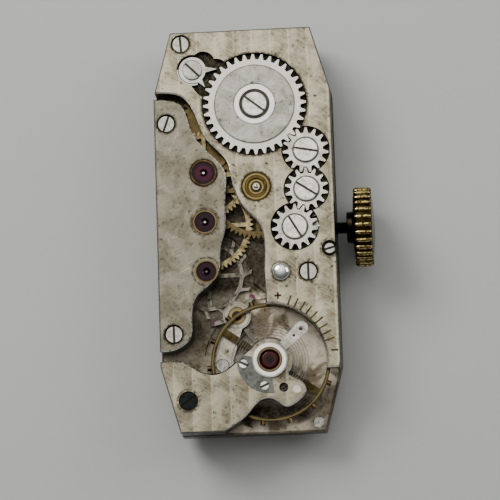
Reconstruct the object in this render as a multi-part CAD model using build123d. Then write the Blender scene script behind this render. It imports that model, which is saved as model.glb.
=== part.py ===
"""Small rectangular hand-wound watch movement, seen from its bridge side.

Millimetres. +Z goes from the dial side to the bridge side, with the dial seat at z = 0.
The origin is the axis of the hands. +X runs out along the stem to the crown, and +Y
runs along the plate to the end that holds the barrel.
"""
import math
import os

from build123d import *

os.makedirs("parts", exist_ok=True)

# Plate
HALF_WIDTH = 6.5
HALF_LENGTH = 14.7
CORNER_X = 1.33
CORNER_Y = 0.32313 * HALF_LENGTH
PLATE_TOP = 1.5
BRIDGE_INSET = 0.06
BRIDGE_TOP = 3.6
BEVEL = 0.10
OVERRUN = 1.0

# Clearances
RUN_GAP = 0.03
SIDE_GAP = 0.10
PIVOT_GAP = 0.015

# Bridge edges as shares of the plate's half width and half length
BARREL_EDGE_SHARES = [
    (-1.06, 0.694), (-0.810, 0.688), (-0.689, 0.673), (-0.543, 0.588), (-0.402, 0.444),
    (-0.197, 0.339), (-0.143, 0.237), (-0.026, 0.105), (0.145, 0.017), (0.192, -0.102),
    (0.188, -0.320),
]
TRAIN_EDGE_SHARES = [
    (-1.06, 0.657), (-0.825, 0.656), (-0.714, 0.638), (-0.588, 0.509), (-0.395, 0.384),
    (-0.223, 0.289), (-0.223, 0.136), (-0.234, -0.010), (-0.292, -0.102), (-0.314, -0.207),
    (-0.383, -0.260), (-0.565, -0.330), (-0.628, -0.447), (-0.646, -0.531), (-0.769, -0.581),
    (-1.06, -0.582),
]
COCK_UPPER_SHARES = [
    (-1.06, -0.646), (-0.850, -0.645), (-0.732, -0.651), (-0.568, -0.695), (-0.392, -0.713),
    (-0.178, -0.665), (-0.040, -0.610), (0.060, -0.585),
]
COCK_LOWER_SHARES = [
    (0.360, -0.700), (0.470, -0.742), (0.560, -0.768), (0.600, -0.805), (0.520, -0.856),
    (0.370, -0.885), (0.230, -0.845), (0.110, -0.848), (-0.060, -0.920), (-0.250, -0.977),
    (-0.420, -1.030),
]
TAIL_Y_SHARE = -0.704
TRAIN_SLOT_RADIUS = 0.43
TRAIN_SLOT_X = -4.3
TRAIN_SLOT_Y = -0.61224 * HALF_LENGTH

# Barrel
BARREL_X = 0.9
BARREL_Y = 0.61565 * HALF_LENGTH
BARREL_TEETH = 66
BARREL_BODY_INSET = 0.295
BARREL_WALL = 0.3
BARREL_LOW = 0.85
BARREL_TOP = 2.12
BARREL_FLOOR = 0.15
BARREL_RIM_LOW = 1.87
BARREL_COVER = 0.13
BARREL_POCKET_FLOOR = 0.8
BARREL_CEILING = 2.25
ARBOR_HUB_RADIUS = 1.2
ARBOR_NECK_RADIUS = 0.65
ARBOR_PIVOT_RADIUS = 0.45
ARBOR_PIVOT_LOW = 0.3
ARBOR_SQUARE = 0.9
MAINSPRING_COILS = 4
MAINSPRING_THICKNESS = 0.10

# Going train: places, teeth and heights
CENTER_X = 0.82
CENTER_Y = 0.20068 * HALF_LENGTH
CENTER_PINION_LEAVES = 12
CENTER_PINION_LOW = 1.86
CENTER_PINION_HIGH = 2.16
CENTER_WHEEL_TEETH = 64
CENTER_WHEEL_LOW = 2.22
CENTER_WHEEL_HIGH = 2.36
CENTER_CEILING = 2.44
CENTER_ARBOR_RADIUS = 0.32
CENTER_BUSH_RADIUS = 1.1
CENTER_DISH_RADIUS = 0.62
CENTER_DISH_DEPTH = 0.16
CENTER_PIVOT_RADIUS = 0.25

THIRD_X = -2.95
THIRD_Y = 0.28027 * HALF_LENGTH
THIRD_PINION_LEAVES = 8
THIRD_PINION_LOW = 2.16
THIRD_PINION_HIGH = 2.44
THIRD_WHEEL_TEETH = 60
THIRD_WHEEL_LOW = 2.50
THIRD_WHEEL_HIGH = 2.62
THIRD_CEILING = 2.70

FOURTH_X = -2.95
FOURTH_Y = 0.03469 * HALF_LENGTH
FOURTH_PINION_LEAVES = 8
FOURTH_PINION_LOW = 2.43
FOURTH_PINION_HIGH = 2.69
FOURTH_WHEEL_TEETH = 60
FOURTH_WHEEL_LOW = 1.74
FOURTH_WHEEL_HIGH = 1.86
FOURTH_CEILING = 2.05
FOURTH_SIDE_GAP = 0.26

ESCAPE_X = -2.95
ESCAPE_Y = -0.21088 * HALF_LENGTH
ESCAPE_PINION_LEAVES = 6
ESCAPE_PINION_LOW = 1.68
ESCAPE_PINION_HIGH = 1.92
ESCAPE_TEETH = 15
ESCAPE_TIP_RADIUS = 3.15
ESCAPE_ROOT_RADIUS = 2.55
ESCAPE_RIM_RADIUS = 2.25
ESCAPE_LOW = 1.20
ESCAPE_HIGH = 1.32
ESCAPE_FLOOR = 1.12

TRAIN_CEILING = 2.85
TRAIN_ARBOR_RADIUS = 0.14
TRAIN_PIVOT_RADIUS = 0.08
WHEEL_RIM = 0.42
WHEEL_HUB = 0.62
SPOKE_WIDTH = 0.30
SPOKES = 4
PINION_CAVITY_GAP = 0.12

# Jewels of the train, radius of setting and of stone
THIRD_SETTING_RADIUS = 1.02
FOURTH_SETTING_RADIUS = 0.93
ESCAPE_SETTING_RADIUS = 0.85
SETTING_WIDTH = 0.17
SETTING_DEPTH = 0.5
SETTING_PROUD = 0.02
JEWEL_TOP_DROP = 0.08
JEWEL_CUP_RADIUS = 0.30
JEWEL_CUP_DEPTH = 0.12
PLATE_JEWEL_RADIUS = 0.5
PLATE_JEWEL_DEPTH = 0.27

# Balance and escapement
BALANCE_X = 1.38
BALANCE_Y = -0.65714 * HALF_LENGTH
BALANCE_RECESS_RADIUS = 4.85
BALANCE_RECESS_FLOOR = 0.9
BALANCE_CEILING = 2.72
BRIDGE_ARC_RADIUS = 4.05
RIM_INNER = 4.02
RIM_OUTER = 4.28
RIM_LOW = 2.05
RIM_HIGH = 2.45
ARM_LOW = 2.15
ARM_HIGH = 2.32
ARM_WIDTH = 0.55
ARM_TURN = 145.0
BALANCE_HUB_RADIUS = 0.55
RIM_SCREWS = 14
RIM_SCREW_HEAD_RADIUS = 0.19
RIM_SCREW_HEAD_LENGTH = 0.30
RIM_SCREW_SIDES = 8
STAFF_RADIUS = 0.20
STAFF_PIVOT_RADIUS = 0.06
ROLLER_RADIUS = 0.85
ROLLER_LOW = 1.45
ROLLER_HIGH = 1.60
ROLLER_PIN_ORBIT = 0.62
ROLLER_PIN_RADIUS = 0.09
ROLLER_PIN_LOW = 1.40
COLLET_RADIUS = 0.38
SPRING_LOW = 2.62
SPRING_HIGH = 2.80
SPRING_THICKNESS = 0.05
SPRING_OUTER = 2.86
SPRING_HALF_TURNS = 10
SPRING_END_TURN = -44.0

PALLET_X = -0.97
PALLET_Y = -0.41837 * HALF_LENGTH
PALLET_POCKET_RADIUS = 2.7
PALLET_POCKET_FLOOR = 1.05
FORK_LOW = 1.16
FORK_HIGH = 1.36
FORK_HUB_RADIUS = 0.34
FORK_ROOT_WIDTH = 0.36
FORK_END_WIDTH = 0.26
FORK_ARM_WIDTH = 0.30
FORK_GAP_TO_PIN = 0.16
FORK_HORN_RADIUS = 0.22
FORK_NOTCH_WIDTH = 0.20
FORK_NOTCH_DEPTH = 0.24
STONE_TURN = 30.0
STONE_GAP = 0.11
STONE_LENGTH = 0.40
STONE_WIDTH = 0.24
PALLET_BRIDGE_TOP = 1.85
PALLET_BOSS_RADIUS = 1.0
PALLET_SCREW_X = -2.11
PALLET_SCREW_Y = -0.66054 * HALF_LENGTH
PALLET_FOOT_RADIUS = 0.82
PALLET_WAIST_SHARE = 0.62
PALLET_CUT_RADIUS = 1.45
PALLET_SCREW_HEAD_RADIUS = 0.48
PALLET_SCREW_HEAD_HEIGHT = 0.14
PALLET_SCREW_SHANK_RADIUS = 0.22

# Cock furniture
COCK_ARM_LOW = 3.0
COCK_BOSS_RADIUS = 1.62
COCK_SCREW_X = -4.50
COCK_SCREW_Y = -0.84082 * HALF_LENGTH
COCK_SCREW_HEAD_RADIUS = 0.65
COCK_HOLE_X = 2.30
COCK_HOLE_Y = -0.79184 * HALF_LENGTH
COCK_HOLE_RADIUS = 0.33
CAP_SETTING_RADIUS = 0.82
CAP_JEWEL_RADIUS = 0.70
CAP_JEWEL_LOW = 3.42
CAP_JEWEL_TOP = 3.84
HOLE_JEWEL_TOP = 3.30
CAP_PLATE_RADIUS = 2.35
CAP_PLATE_START = 168.0
CAP_PLATE_END = 276.0
CAP_PLATE_THICKNESS = 0.12
CAP_SCREW_ORBIT = 1.88
CAP_SCREW_TURNS = (187.0, 257.0)
CAP_SCREW_HEAD_RADIUS = 0.34
CAP_SCREW_HEAD_HEIGHT = 0.16
CAP_SCREW_SHANK_RADIUS = 0.15
REGULATOR_RING_RADIUS = 1.29
REGULATOR_LOW = 3.74
REGULATOR_HIGH = 3.90
REGULATOR_TURN = 43.0
REGULATOR_TIP = 3.66
REGULATOR_ROOT_WIDTH = 0.62
REGULATOR_TIP_WIDTH = 0.92
CURB_PIN_RADIUS = 0.06
STUD_X = 3.23
STUD_Y = -0.8034 * HALF_LENGTH
STUD_RADIUS = 0.28
STUD_LOW = 2.55

# Winding work
WINDING_MODULE = 0.198
RATCHET_TEETH = 36
UPPER_TEETH = 15
LOWER_TEETH = 14
CROWN_WHEEL_TEETH = 15
UPPER_DIRECTION = -44.8
LOWER_DIRECTION = -90.9
CROWN_WHEEL_DIRECTION = -108.9
RECESS_FLOOR = 3.05
WINDING_LOW = 3.12
WINDING_HIGH = 3.52
RECESS_GAP = 0.10
CROWN_RECESS_FLOOR = 2.65
CROWN_WHEEL_LOW = 2.73
CROWN_WHEEL_HIGH = 3.50
WHEEL_SCREW_HEAD_RADIUS = 0.88
WHEEL_SCREW_SHANK_RADIUS = 0.36
WHEEL_SCREW_LOW = 2.60
CROWN_SCREW_LOW = 2.34
WHEEL_SCREW_HEAD_HEIGHT = 0.16
RATCHET_BOSS_INNER = 1.10
RATCHET_BOSS_MIDDLE = 1.50
RATCHET_BOSS_OUTER = 2.85
RATCHET_BOSS_RISE = 0.10
RATCHET_SCREW_RADIUS = 0.90
RATCHET_SCREW_HEAD_HEIGHT = 0.18
RATCHET_SCREW_SHANK_RADIUS = 0.25
RATCHET_SCREW_LOW = 2.60
CLICK_X = -3.55
CLICK_Y = 0.80204 * HALF_LENGTH
CLICK_RECESS_RADIUS = 1.13
CLICK_BODY_RADIUS = 0.98
CLICK_HIGH = 3.50
CLICK_SCREW_HEAD_RADIUS = 0.73
CLICK_SCREW_SHANK_RADIUS = 0.30
CLICK_SCREW_HEAD_HEIGHT = 0.16
CLICK_SCREW_LOW = 2.45
CLICK_BEAK_TURNS = (134.0, 158.0)
CLICK_BEAK_GAP = 0.10
CLICK_BEAK_WIDTH = 0.90
CLICK_PASSAGE_WIDTH = 1.50
CLICK_ARCH_RADIUS = 0.85
CLICK_ARCH_TURN = 32.0
CLICK_ARCH_REACH = 0.95
CLICK_SPRING_WIDTH = 0.10

# Bridge screws
SCREW_HEAD_RADIUS = 0.62
SCREW_RECESS_RADIUS = 0.70
SCREW_HEAD_HEIGHT = 0.40
SCREW_SINK = 0.04
SCREW_SHANK_RADIUS = 0.33
SCREW_LOW = 0.95
SLOT_WIDTH = 0.17
SLOT_DEPTH = 0.10
HEAD_CHAMFER = 0.05
BARREL_SCREWS_SHARES = [(-0.669, 0.936), (0.669, -0.231)]
TRAIN_SCREWS_SHARES = [(-0.855, 0.535), (-0.831, -0.514)]
PLATE_SCREW_X = 4.62
PLATE_SCREW_Y = -0.95374 * HALF_LENGTH
PLATE_SCREW_HEAD_RADIUS = 0.40

# Stem, clutch and crown
STEM_Z = 1.55
PINION_INNER_X = 4.79
PINION_OUTER_X = 5.27
PINION_TEETH = 12
PINION_RADIUS = 1.29
PINION_ROOT = 0.98
PINION_TIP_SHARE = 0.24
CLUTCH_INNER_X = 3.90
CLUTCH_OUTER_X = 4.70
CLUTCH_RADIUS = 0.58
CLUTCH_GROOVE_X = 4.17
CLUTCH_GROOVE_WIDTH = 0.24
CLUTCH_GROOVE_RADIUS = 0.42
CLUTCH_TEETH = 10
CLUTCH_TOOTH_DEPTH = 0.12
STEM_PIVOT_X = 2.60
STEM_PIVOT_RADIUS = 0.20
STEM_SQUARE_X = 3.42
STEM_SQUARE = 0.42
STEM_BODY_X = 4.74
STEM_BODY_RADIUS = 0.42
STEM_GROOVE_X = 5.75
STEM_GROOVE_WIDTH = 0.34
STEM_GROOVE_RADIUS = 0.26
STEM_TRAVEL = 0.45
STEM_BORE_RADIUS = 0.50
CROWN_HUB_X = 7.20
CROWN_HUB_RADIUS = 1.15
CROWN_BAND_X = 7.80
CROWN_FACE_X = 9.00
CROWN_DOME_X = 9.22
CROWN_RADIUS = 2.90
CROWN_FLUTES = 30
CROWN_SHOULDER = 0.16
CROWN_ROOT_SHARE = 0.72
CROWN_TIP_SHARE = 0.40
CROWN_BORE_X = 8.2

# Keyless work under the plate
KEYLESS_CEILING = 0.85
KEYLESS_LEFT = 2.4
KEYLESS_RIGHT = 6.36
KEYLESS_LOW_Y = -0.27211 * HALF_LENGTH
KEYLESS_HIGH_Y = 0.05442 * HALF_LENGTH
LEVER_LOW = 0.50
LEVER_HIGH = 0.75
DETENT_X = 5.93
DETENT_Y = -0.12109 * HALF_LENGTH
DETENT_HEAD_RADIUS = 0.40
DETENT_RECESS_RADIUS = 0.58
DETENT_SHANK_RADIUS = 0.20
DETENT_HEAD_LOW = 3.15
LEVER_HUB_RADIUS = 0.38
LEVER_ARM_WIDTH = 0.30
LEVER_PIN_RADIUS = 0.12
LEVER_TAIL = 1.35
LEVER_TAIL_TURN = 205.0
POST_X = 2.40
POST_Y = -0.22721 * HALF_LENGTH
POST_RADIUS = 0.36
POST_FOOT_RADIUS = 0.24
DOME_RADIUS = 0.64
DOME_RISE = 0.26
YOKE_HUB_RADIUS = 0.50
YOKE_WIDTH = 0.34
YOKE_PIN_RADIUS = 0.10
ISLAND_X = 5.35
ISLAND_Y = -0.23265 * HALF_LENGTH
ISLAND_RADIUS = 0.50
SETTING_BRIDGE_LOW = 0.16
SETTING_BRIDGE_HIGH = 0.40
SETTING_SCREW_RADIUS = 0.18
SETTING_SCREW_HEAD_RADIUS = 0.38
SETTING_SCREW_TOP = 1.30

# Motion work under the plate
MOTION_MODULE = 0.12
MOTION_LOW = 0.85
MOTION_HIGH = 1.10
MOTION_CEILING = 1.22
CANNON_TEETH = 12
MINUTE_TEETH = 30
MINUTE_PINION_LEAVES = 10
HOUR_TEETH = 48
SETTING_TEETH = 21
MINUTE_DIRECTION = 127.1
HOUR_LOW = 0.35
HOUR_HIGH = 0.50
HOUR_CEILING = 0.65
HOUR_PIPE_RADIUS = 0.50
HOUR_PIPE_LOW = -0.30
CANNON_PIPE_RADIUS = 0.31
CANNON_PIPE_LOW = -0.55
CANNON_SEAT_RADIUS = 0.27
CANNON_SEAT_HIGH = -0.32
HAND_POST_RADIUS = 0.19
HAND_POST_LOW = -0.45
WORK_POST_RADIUS = 0.14
WORK_POST_LOW = 0.30
DIAL_FOOT_RADIUS = 0.35
DIAL_FOOT_DEPTH = 0.8
DIAL_FEET_SHARES = [(-0.723, 0.857), (0.754, -0.800)]

# Shares of a tooth's pitch
ROOT_SHARE = 0.62
TIP_SHARE = 0.20
ADDENDUM_SHARE = 0.85
DEDENDUM_SHARE = 1.15
FINE_DEDENDUM_SHARE = 1.75


# Helpers for flat forms
def polar(radius, degrees, x=0.0, y=0.0):
    """Point at a radius and angle round (x, y)."""
    return (x + radius * math.cos(math.radians(degrees)), y + radius * math.sin(math.radians(degrees)))


def slab(face, low, high):
    """Solid over a flat outline between two heights."""
    return extrude(Pos(0, 0, low) * face, amount=high - low, dir=(0, 0, 1))


def disc(radius, low, high, x=0.0, y=0.0):
    """Upright cylinder."""
    return slab(Pos(x, y, 0) * Circle(radius), low, high)


def tube(outer, inner, low, high, x=0.0, y=0.0):
    """Upright tube."""
    return slab(Pos(x, y, 0) * (Circle(outer) - Circle(inner)), low, high)


def polygon(points):
    """Face inside a closed run of points."""
    return make_face(Polyline(*points, close=True))


def bar(start, end, width):
    """Flat bar with round ends between two points."""
    length = math.dist(start, end)
    turn = math.degrees(math.atan2(end[1] - start[1], end[0] - start[0]))
    body = Pos(length / 2, 0, 0) * Rectangle(length, width)
    face = body + Circle(width / 2) + Pos(length, 0, 0) * Circle(width / 2)
    return Pos(start[0], start[1], 0) * Rot(0, 0, turn) * face


def on_plate(shares):
    """Points given as shares of the plate's half width and half length."""
    return [(across * HALF_WIDTH, along * HALF_LENGTH) for across, along in shares]


def along_stem(face, inner, outer):
    """Solid over an outline drawn round the stem axis, from one x to another."""
    placed = Pos(inner, 0, STEM_Z) * Rot(0, 90, 0) * face
    return extrude(placed, amount=outer - inner, dir=(1, 0, 0))


def rod(radius, inner, outer):
    """Cylinder on the stem axis."""
    return along_stem(Circle(radius), inner, outer)


# Helpers for toothed wheels
def toothed(teeth, root, tip, turn, root_share=ROOT_SHARE, tip_share=TIP_SHARE):
    """Wheel outline with straight-sided teeth, one of them centred at turn."""
    step = 360 / teeth
    points = []
    for tooth in range(teeth):
        middle = turn + tooth * step
        points.append(polar(root, middle - root_share * step / 2))
        points.append(polar(tip, middle - tip_share * step / 2))
        points.append(polar(tip, middle + tip_share * step / 2))
        points.append(polar(root, middle + root_share * step / 2))
    return polygon(points)


def gear(teeth, module, turn):
    """Spur wheel outline."""
    pitch_radius = teeth * module / 2
    return toothed(teeth, pitch_radius - DEDENDUM_SHARE * module,
                   pitch_radius + ADDENDUM_SHARE * module, turn)


def fine_gear(teeth, module, turn):
    """Fine wheel outline, whose teeth meet in a pointed root."""
    pitch_radius = teeth * module / 2
    tip = pitch_radius + ADDENDUM_SHARE * module
    root = pitch_radius - FINE_DEDENDUM_SHARE * module
    step = 360 / teeth
    points = []
    for tooth in range(teeth):
        middle = turn + tooth * step
        points.append(polar(tip, middle - TIP_SHARE * step / 2))
        points.append(polar(tip, middle + TIP_SHARE * step / 2))
        points.append(polar(root, middle + step / 2))
    return polygon(points)


def mesh_turn(direction, teeth_a, turn_a, teeth_b):
    """Turn of wheel b whose gap meets a tooth of wheel a, with b lying at direction from a."""
    lead = (direction - turn_a) / (360 / teeth_a)
    return direction + 180 + (360 / teeth_b) * (0.5 + lead)


def heading(start, end):
    """Direction in degrees from one place to another."""
    return math.degrees(math.atan2(end[1] - start[1], end[0] - start[0]))


def windows(rim, hub, width, turn=0.0):
    """The openings between the spokes of a wheel."""
    opening = Circle(rim) - Circle(hub)
    for spoke in range(SPOKES):
        spoke_turn = turn + spoke * 360 / SPOKES
        opening -= Rot(0, 0, spoke_turn) * (Pos(rim / 2, 0, 0) * Rectangle(rim * 1.1, width))
    return opening


def train_wheel(place, teeth, module, turn, low, high, bore):
    """Spoked wheel of the going train."""
    rim = teeth * module / 2 - WHEEL_RIM
    face = fine_gear(teeth, module, turn) - windows(rim, WHEEL_HUB, SPOKE_WIDTH) - Circle(bore)
    return slab(Pos(place[0], place[1], 0) * face, low, high)


def pinion(place, leaves, module, turn, low, high, arbor_low, arbor_high):
    """Pinion of the train, cut from one piece with its arbor and pivots."""
    leaf_part = slab(Pos(place[0], place[1], 0) * gear(leaves, module, turn), low, high)
    body = disc(TRAIN_ARBOR_RADIUS, arbor_low + RUN_GAP, arbor_high - RUN_GAP, *place)
    pivots = disc(TRAIN_PIVOT_RADIUS, arbor_low - PLATE_JEWEL_DEPTH, TRAIN_JEWEL_TOP, *place)
    return leaf_part + body + pivots


def screw(place, head_radius, head_low, head_high, shank_radius, shank_low, turn):
    """Slotted screw with a chamfered flat head."""
    head = disc(head_radius, head_low, head_high, *place)
    head = chamfer(head.edges().group_by(Axis.Z)[-1], HEAD_CHAMFER)
    shank = disc(shank_radius, shank_low, head_low, *place)
    slot_length = 2 * (head_radius + OVERRUN)
    slot = Pos(place[0], place[1], head_high) * Rot(0, 0, turn)
    return head + shank - slot * Box(slot_length, SLOT_WIDTH, 2 * SLOT_DEPTH)


def spiral(outer_radius, pitch, half_turns, thickness, turn):
    """Flat strip that winds inwards in half circles, as one unbroken outline."""
    outer_edges, inner_edges = [], []
    shift = polar(pitch / 2, turn + 180)
    for half in range(half_turns):
        radius = outer_radius - half * pitch / 2
        center = (0, 0) if half % 2 == 0 else shift
        start = turn + 180 * half
        outer_edges.append(CenterArc(center, radius + thickness / 2, start, 180))
        inner_edges.append(CenterArc(center, radius - thickness / 2, start, 180))
    ends = [Line(outer_edges[0] @ 0, inner_edges[0] @ 0), Line(outer_edges[-1] @ 1, inner_edges[-1] @ 1)]
    return make_face(Curve() + outer_edges + inner_edges + ends)


def spiral_gap(outer_radius, pitch, half_turns, thickness, samples=24):
    """Least gap between neighbouring turns, measured on points of the strip's middle line."""
    points = []
    for step in range(half_turns * samples + 1):
        half = min(step // samples, half_turns - 1)
        angle = 180 * step / samples
        radius = outer_radius - half * pitch / 2
        middle = 0 if half % 2 == 0 else -pitch / 2
        points.append(polar(radius, angle, middle, 0))
    turn_steps = 2 * samples
    least = math.inf
    for index, point in enumerate(points[:-turn_steps + samples // 2]):
        for other in points[index + turn_steps - samples // 2:]:
            least = min(least, math.dist(point, other))
    return least - thickness


# Places and modules worked out from the sizes above
BARREL = (BARREL_X, BARREL_Y)
CENTER = (CENTER_X, CENTER_Y)
THIRD = (THIRD_X, THIRD_Y)
FOURTH = (FOURTH_X, FOURTH_Y)
ESCAPE = (ESCAPE_X, ESCAPE_Y)
PALLET = (PALLET_X, PALLET_Y)
BALANCE = (BALANCE_X, BALANCE_Y)
HANDS = (0.0, 0.0)

BARREL_MODULE = 2 * math.dist(BARREL, CENTER) / (BARREL_TEETH + CENTER_PINION_LEAVES)
CENTER_MODULE = 2 * math.dist(CENTER, THIRD) / (CENTER_WHEEL_TEETH + THIRD_PINION_LEAVES)
THIRD_MODULE = 2 * math.dist(THIRD, FOURTH) / (THIRD_WHEEL_TEETH + FOURTH_PINION_LEAVES)
FOURTH_MODULE = 2 * math.dist(FOURTH, ESCAPE) / (FOURTH_WHEEL_TEETH + ESCAPE_PINION_LEAVES)


def tip_radius(teeth, module):
    """Outer radius of a spur wheel."""
    return (teeth / 2 + ADDENDUM_SHARE) * module


BARREL_TIP = tip_radius(BARREL_TEETH, BARREL_MODULE)
BARREL_BODY_RADIUS = BARREL_TIP - BARREL_BODY_INSET
CENTER_TIP = tip_radius(CENTER_WHEEL_TEETH, CENTER_MODULE)
THIRD_TIP = tip_radius(THIRD_WHEEL_TEETH, THIRD_MODULE)
FOURTH_TIP = tip_radius(FOURTH_WHEEL_TEETH, FOURTH_MODULE)

CENTER_PINION_TURN = mesh_turn(heading(BARREL, CENTER), BARREL_TEETH, 0, CENTER_PINION_LEAVES)
THIRD_PINION_TURN = mesh_turn(heading(CENTER, THIRD), CENTER_WHEEL_TEETH, 0, THIRD_PINION_LEAVES)
FOURTH_PINION_TURN = mesh_turn(heading(THIRD, FOURTH), THIRD_WHEEL_TEETH, 0, FOURTH_PINION_LEAVES)
ESCAPE_PINION_TURN = mesh_turn(heading(FOURTH, ESCAPE), FOURTH_WHEEL_TEETH, 0, ESCAPE_PINION_LEAVES)

SETTING_LOW = BRIDGE_TOP - SETTING_DEPTH
TRAIN_JEWEL_TOP = BRIDGE_TOP - JEWEL_TOP_DROP


def winding_place(start, direction, teeth_a, teeth_b):
    """Centre of a winding wheel in mesh with the one before it."""
    return polar((teeth_a + teeth_b) * WINDING_MODULE / 2, direction, *start)


UPPER = winding_place(BARREL, UPPER_DIRECTION, RATCHET_TEETH, UPPER_TEETH)
LOWER = winding_place(UPPER, LOWER_DIRECTION, UPPER_TEETH, LOWER_TEETH)
CROWN_WHEEL = winding_place(LOWER, CROWN_WHEEL_DIRECTION, LOWER_TEETH, CROWN_WHEEL_TEETH)
UPPER_TURN = mesh_turn(UPPER_DIRECTION, RATCHET_TEETH, 0, UPPER_TEETH)
LOWER_TURN = mesh_turn(LOWER_DIRECTION, UPPER_TEETH, UPPER_TURN, LOWER_TEETH)
CROWN_WHEEL_TURN = mesh_turn(CROWN_WHEEL_DIRECTION, LOWER_TEETH, LOWER_TURN, CROWN_WHEEL_TEETH)
RATCHET_TIP = tip_radius(RATCHET_TEETH, WINDING_MODULE)

MOTION_REACH = (CANNON_TEETH + MINUTE_TEETH) * MOTION_MODULE / 2
MINUTE = polar(MOTION_REACH, MINUTE_DIRECTION)
SETTING = ((CANNON_TEETH + SETTING_TEETH) * MOTION_MODULE / 2, 0.0)
HOUR_MODULE = 2 * MOTION_REACH / (HOUR_TEETH + MINUTE_PINION_LEAVES)
MINUTE_TURN = mesh_turn(MINUTE_DIRECTION, CANNON_TEETH, 0, MINUTE_TEETH)
DRIVING_TURN = mesh_turn(heading(MINUTE, CENTER), MINUTE_TEETH, MINUTE_TURN, CANNON_TEETH)
SETTING_WHEEL_TURN = mesh_turn(0, CANNON_TEETH, 0, SETTING_TEETH)
HOUR_TURN = mesh_turn(heading(MINUTE, HANDS), MINUTE_PINION_LEAVES, 0, HOUR_TEETH)

DETENT = (DETENT_X, DETENT_Y)
POST = (POST_X, POST_Y)
ISLAND = (ISLAND_X, ISLAND_Y)
CLICK = (CLICK_X, CLICK_Y)
COCK_SCREW = (COCK_SCREW_X, COCK_SCREW_Y)
PALLET_SCREW = (PALLET_SCREW_X, PALLET_SCREW_Y)
PLATE_SCREW = (PLATE_SCREW_X, PLATE_SCREW_Y)
STUD = (STUD_X, STUD_Y)
CLICK_TIPS = [polar(RATCHET_TIP + CLICK_BEAK_GAP, turn, *BARREL) for turn in CLICK_BEAK_TURNS]
BARREL_SCREWS = on_plate(BARREL_SCREWS_SHARES)
TRAIN_SCREWS = on_plate(TRAIN_SCREWS_SHARES)
CAP_SCREWS = [polar(CAP_SCREW_ORBIT, turn, *BALANCE) for turn in CAP_SCREW_TURNS]

parts = {}


def keep(name, *solids):
    """Store the solids of one named piece or group."""
    parts[name] = solids[0] if len(solids) == 1 else Compound(children=list(solids))


# Outlines of the plate and bridges
def plate_outline(inset):
    """Rectangle with four cut corners."""
    right = HALF_WIDTH - inset
    top = HALF_LENGTH - inset
    quarter = [(right - CORNER_X, top), (right, top - CORNER_Y)]
    points = quarter + [(x, -y) for x, y in reversed(quarter)]
    points += [(-x, -y) for x, y in quarter] + [(-x, y) for x, y in reversed(quarter)]
    return polygon(points)


def region(curve_shares, corners):
    """Face bounded by a smooth edge and a run of corners, kept inside the bridge outline."""
    curve = on_plate(curve_shares)
    closing = Polyline(curve[-1], *corners, curve[0])
    return plate_outline(BRIDGE_INSET) & make_face(Curve() + [Spline(*curve), closing])


def barrel_bridge_outline():
    """Large bridge over barrel and winding wheels, hollowed round the balance."""
    far_x = HALF_WIDTH + OVERRUN
    far_y = HALF_LENGTH + OVERRUN
    tail_y = TAIL_Y_SHARE * HALF_LENGTH
    end_x, end_y = on_plate(BARREL_EDGE_SHARES)[-1]
    left = BARREL_EDGE_SHARES[0][0] * HALF_WIDTH
    corners = [(end_x, BALANCE_Y + BRIDGE_ARC_RADIUS / 2), (BALANCE_X, BALANCE_Y), (BALANCE_X, tail_y),
               (far_x, tail_y), (far_x, far_y), (left, far_y)]
    face = region(BARREL_EDGE_SHARES, corners)
    return face - Pos(*BALANCE, 0) * Circle(BRIDGE_ARC_RADIUS)


def train_bridge_outline():
    """Narrow bridge along the left side."""
    last = on_plate(TRAIN_EDGE_SHARES)[-1]
    return region(TRAIN_EDGE_SHARES, [(last[0] - OVERRUN, last[1]), (last[0] - OVERRUN, 0)])


def cock_outline():
    """Balance cock with a round boss over the balance."""
    upper = Spline(*on_plate(COCK_UPPER_SHARES))
    lower = Spline(*on_plate(COCK_LOWER_SHARES))
    left = on_plate([(COCK_UPPER_SHARES[0][0] * 1.2, COCK_LOWER_SHARES[-1][1])])[0]
    edges = [upper, Line(upper @ 1, lower @ 0), lower, Polyline(lower @ 1, left, upper @ 0)]
    face = make_face(Curve() + edges) + Pos(*BALANCE, 0) * Circle(COCK_BOSS_RADIUS)
    return face & plate_outline(BRIDGE_INSET)


def beveled(face, low, high):
    """Bridge blank with a bevel round its upper edge."""
    blank = slab(face, low, high)
    top = blank.faces().sort_by(Axis.Z)[-1]
    return chamfer(top.outer_wire().edges(), BEVEL)


def cut_all(solid, cuts):
    """Solid less every cutter."""
    for cutter in cuts:
        solid = solid - cutter
    return solid


# Hollows that pass through more than one piece
def stem_hollows():
    """Room for the stem, the clutch, the winding pinion and their openings."""
    outside = HALF_WIDTH + OVERRUN
    clutch_room = CLUTCH_RADIUS + SIDE_GAP
    clutch_start = CLUTCH_INNER_X - STEM_TRAVEL - SIDE_GAP
    slot_center = (KEYLESS_RIGHT + STEM_GROOVE_X - STEM_GROOVE_WIDTH) / 2
    slot_width = KEYLESS_RIGHT - STEM_GROOVE_X + STEM_GROOVE_WIDTH
    return [
        rod(STEM_BORE_RADIUS, PINION_INNER_X, outside),
        rod(clutch_room, clutch_start, PINION_INNER_X),
        rod(PINION_RADIUS + SIDE_GAP, PINION_INNER_X - RUN_GAP, PINION_OUTER_X + RUN_GAP),
        rod(STEM_PIVOT_RADIUS + PIVOT_GAP, STEM_PIVOT_X - SIDE_GAP, clutch_start),
        slab(Pos((clutch_start + PINION_INNER_X) / 2, 0, 0)
             * Rectangle(PINION_INNER_X - clutch_start, 2 * clutch_room), 0, STEM_Z),
        slab(Pos(slot_center, 0, 0) * Rectangle(slot_width, 2 * LEVER_PIN_RADIUS + 2 * SIDE_GAP),
             LEVER_HIGH, STEM_Z),
    ]


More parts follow.
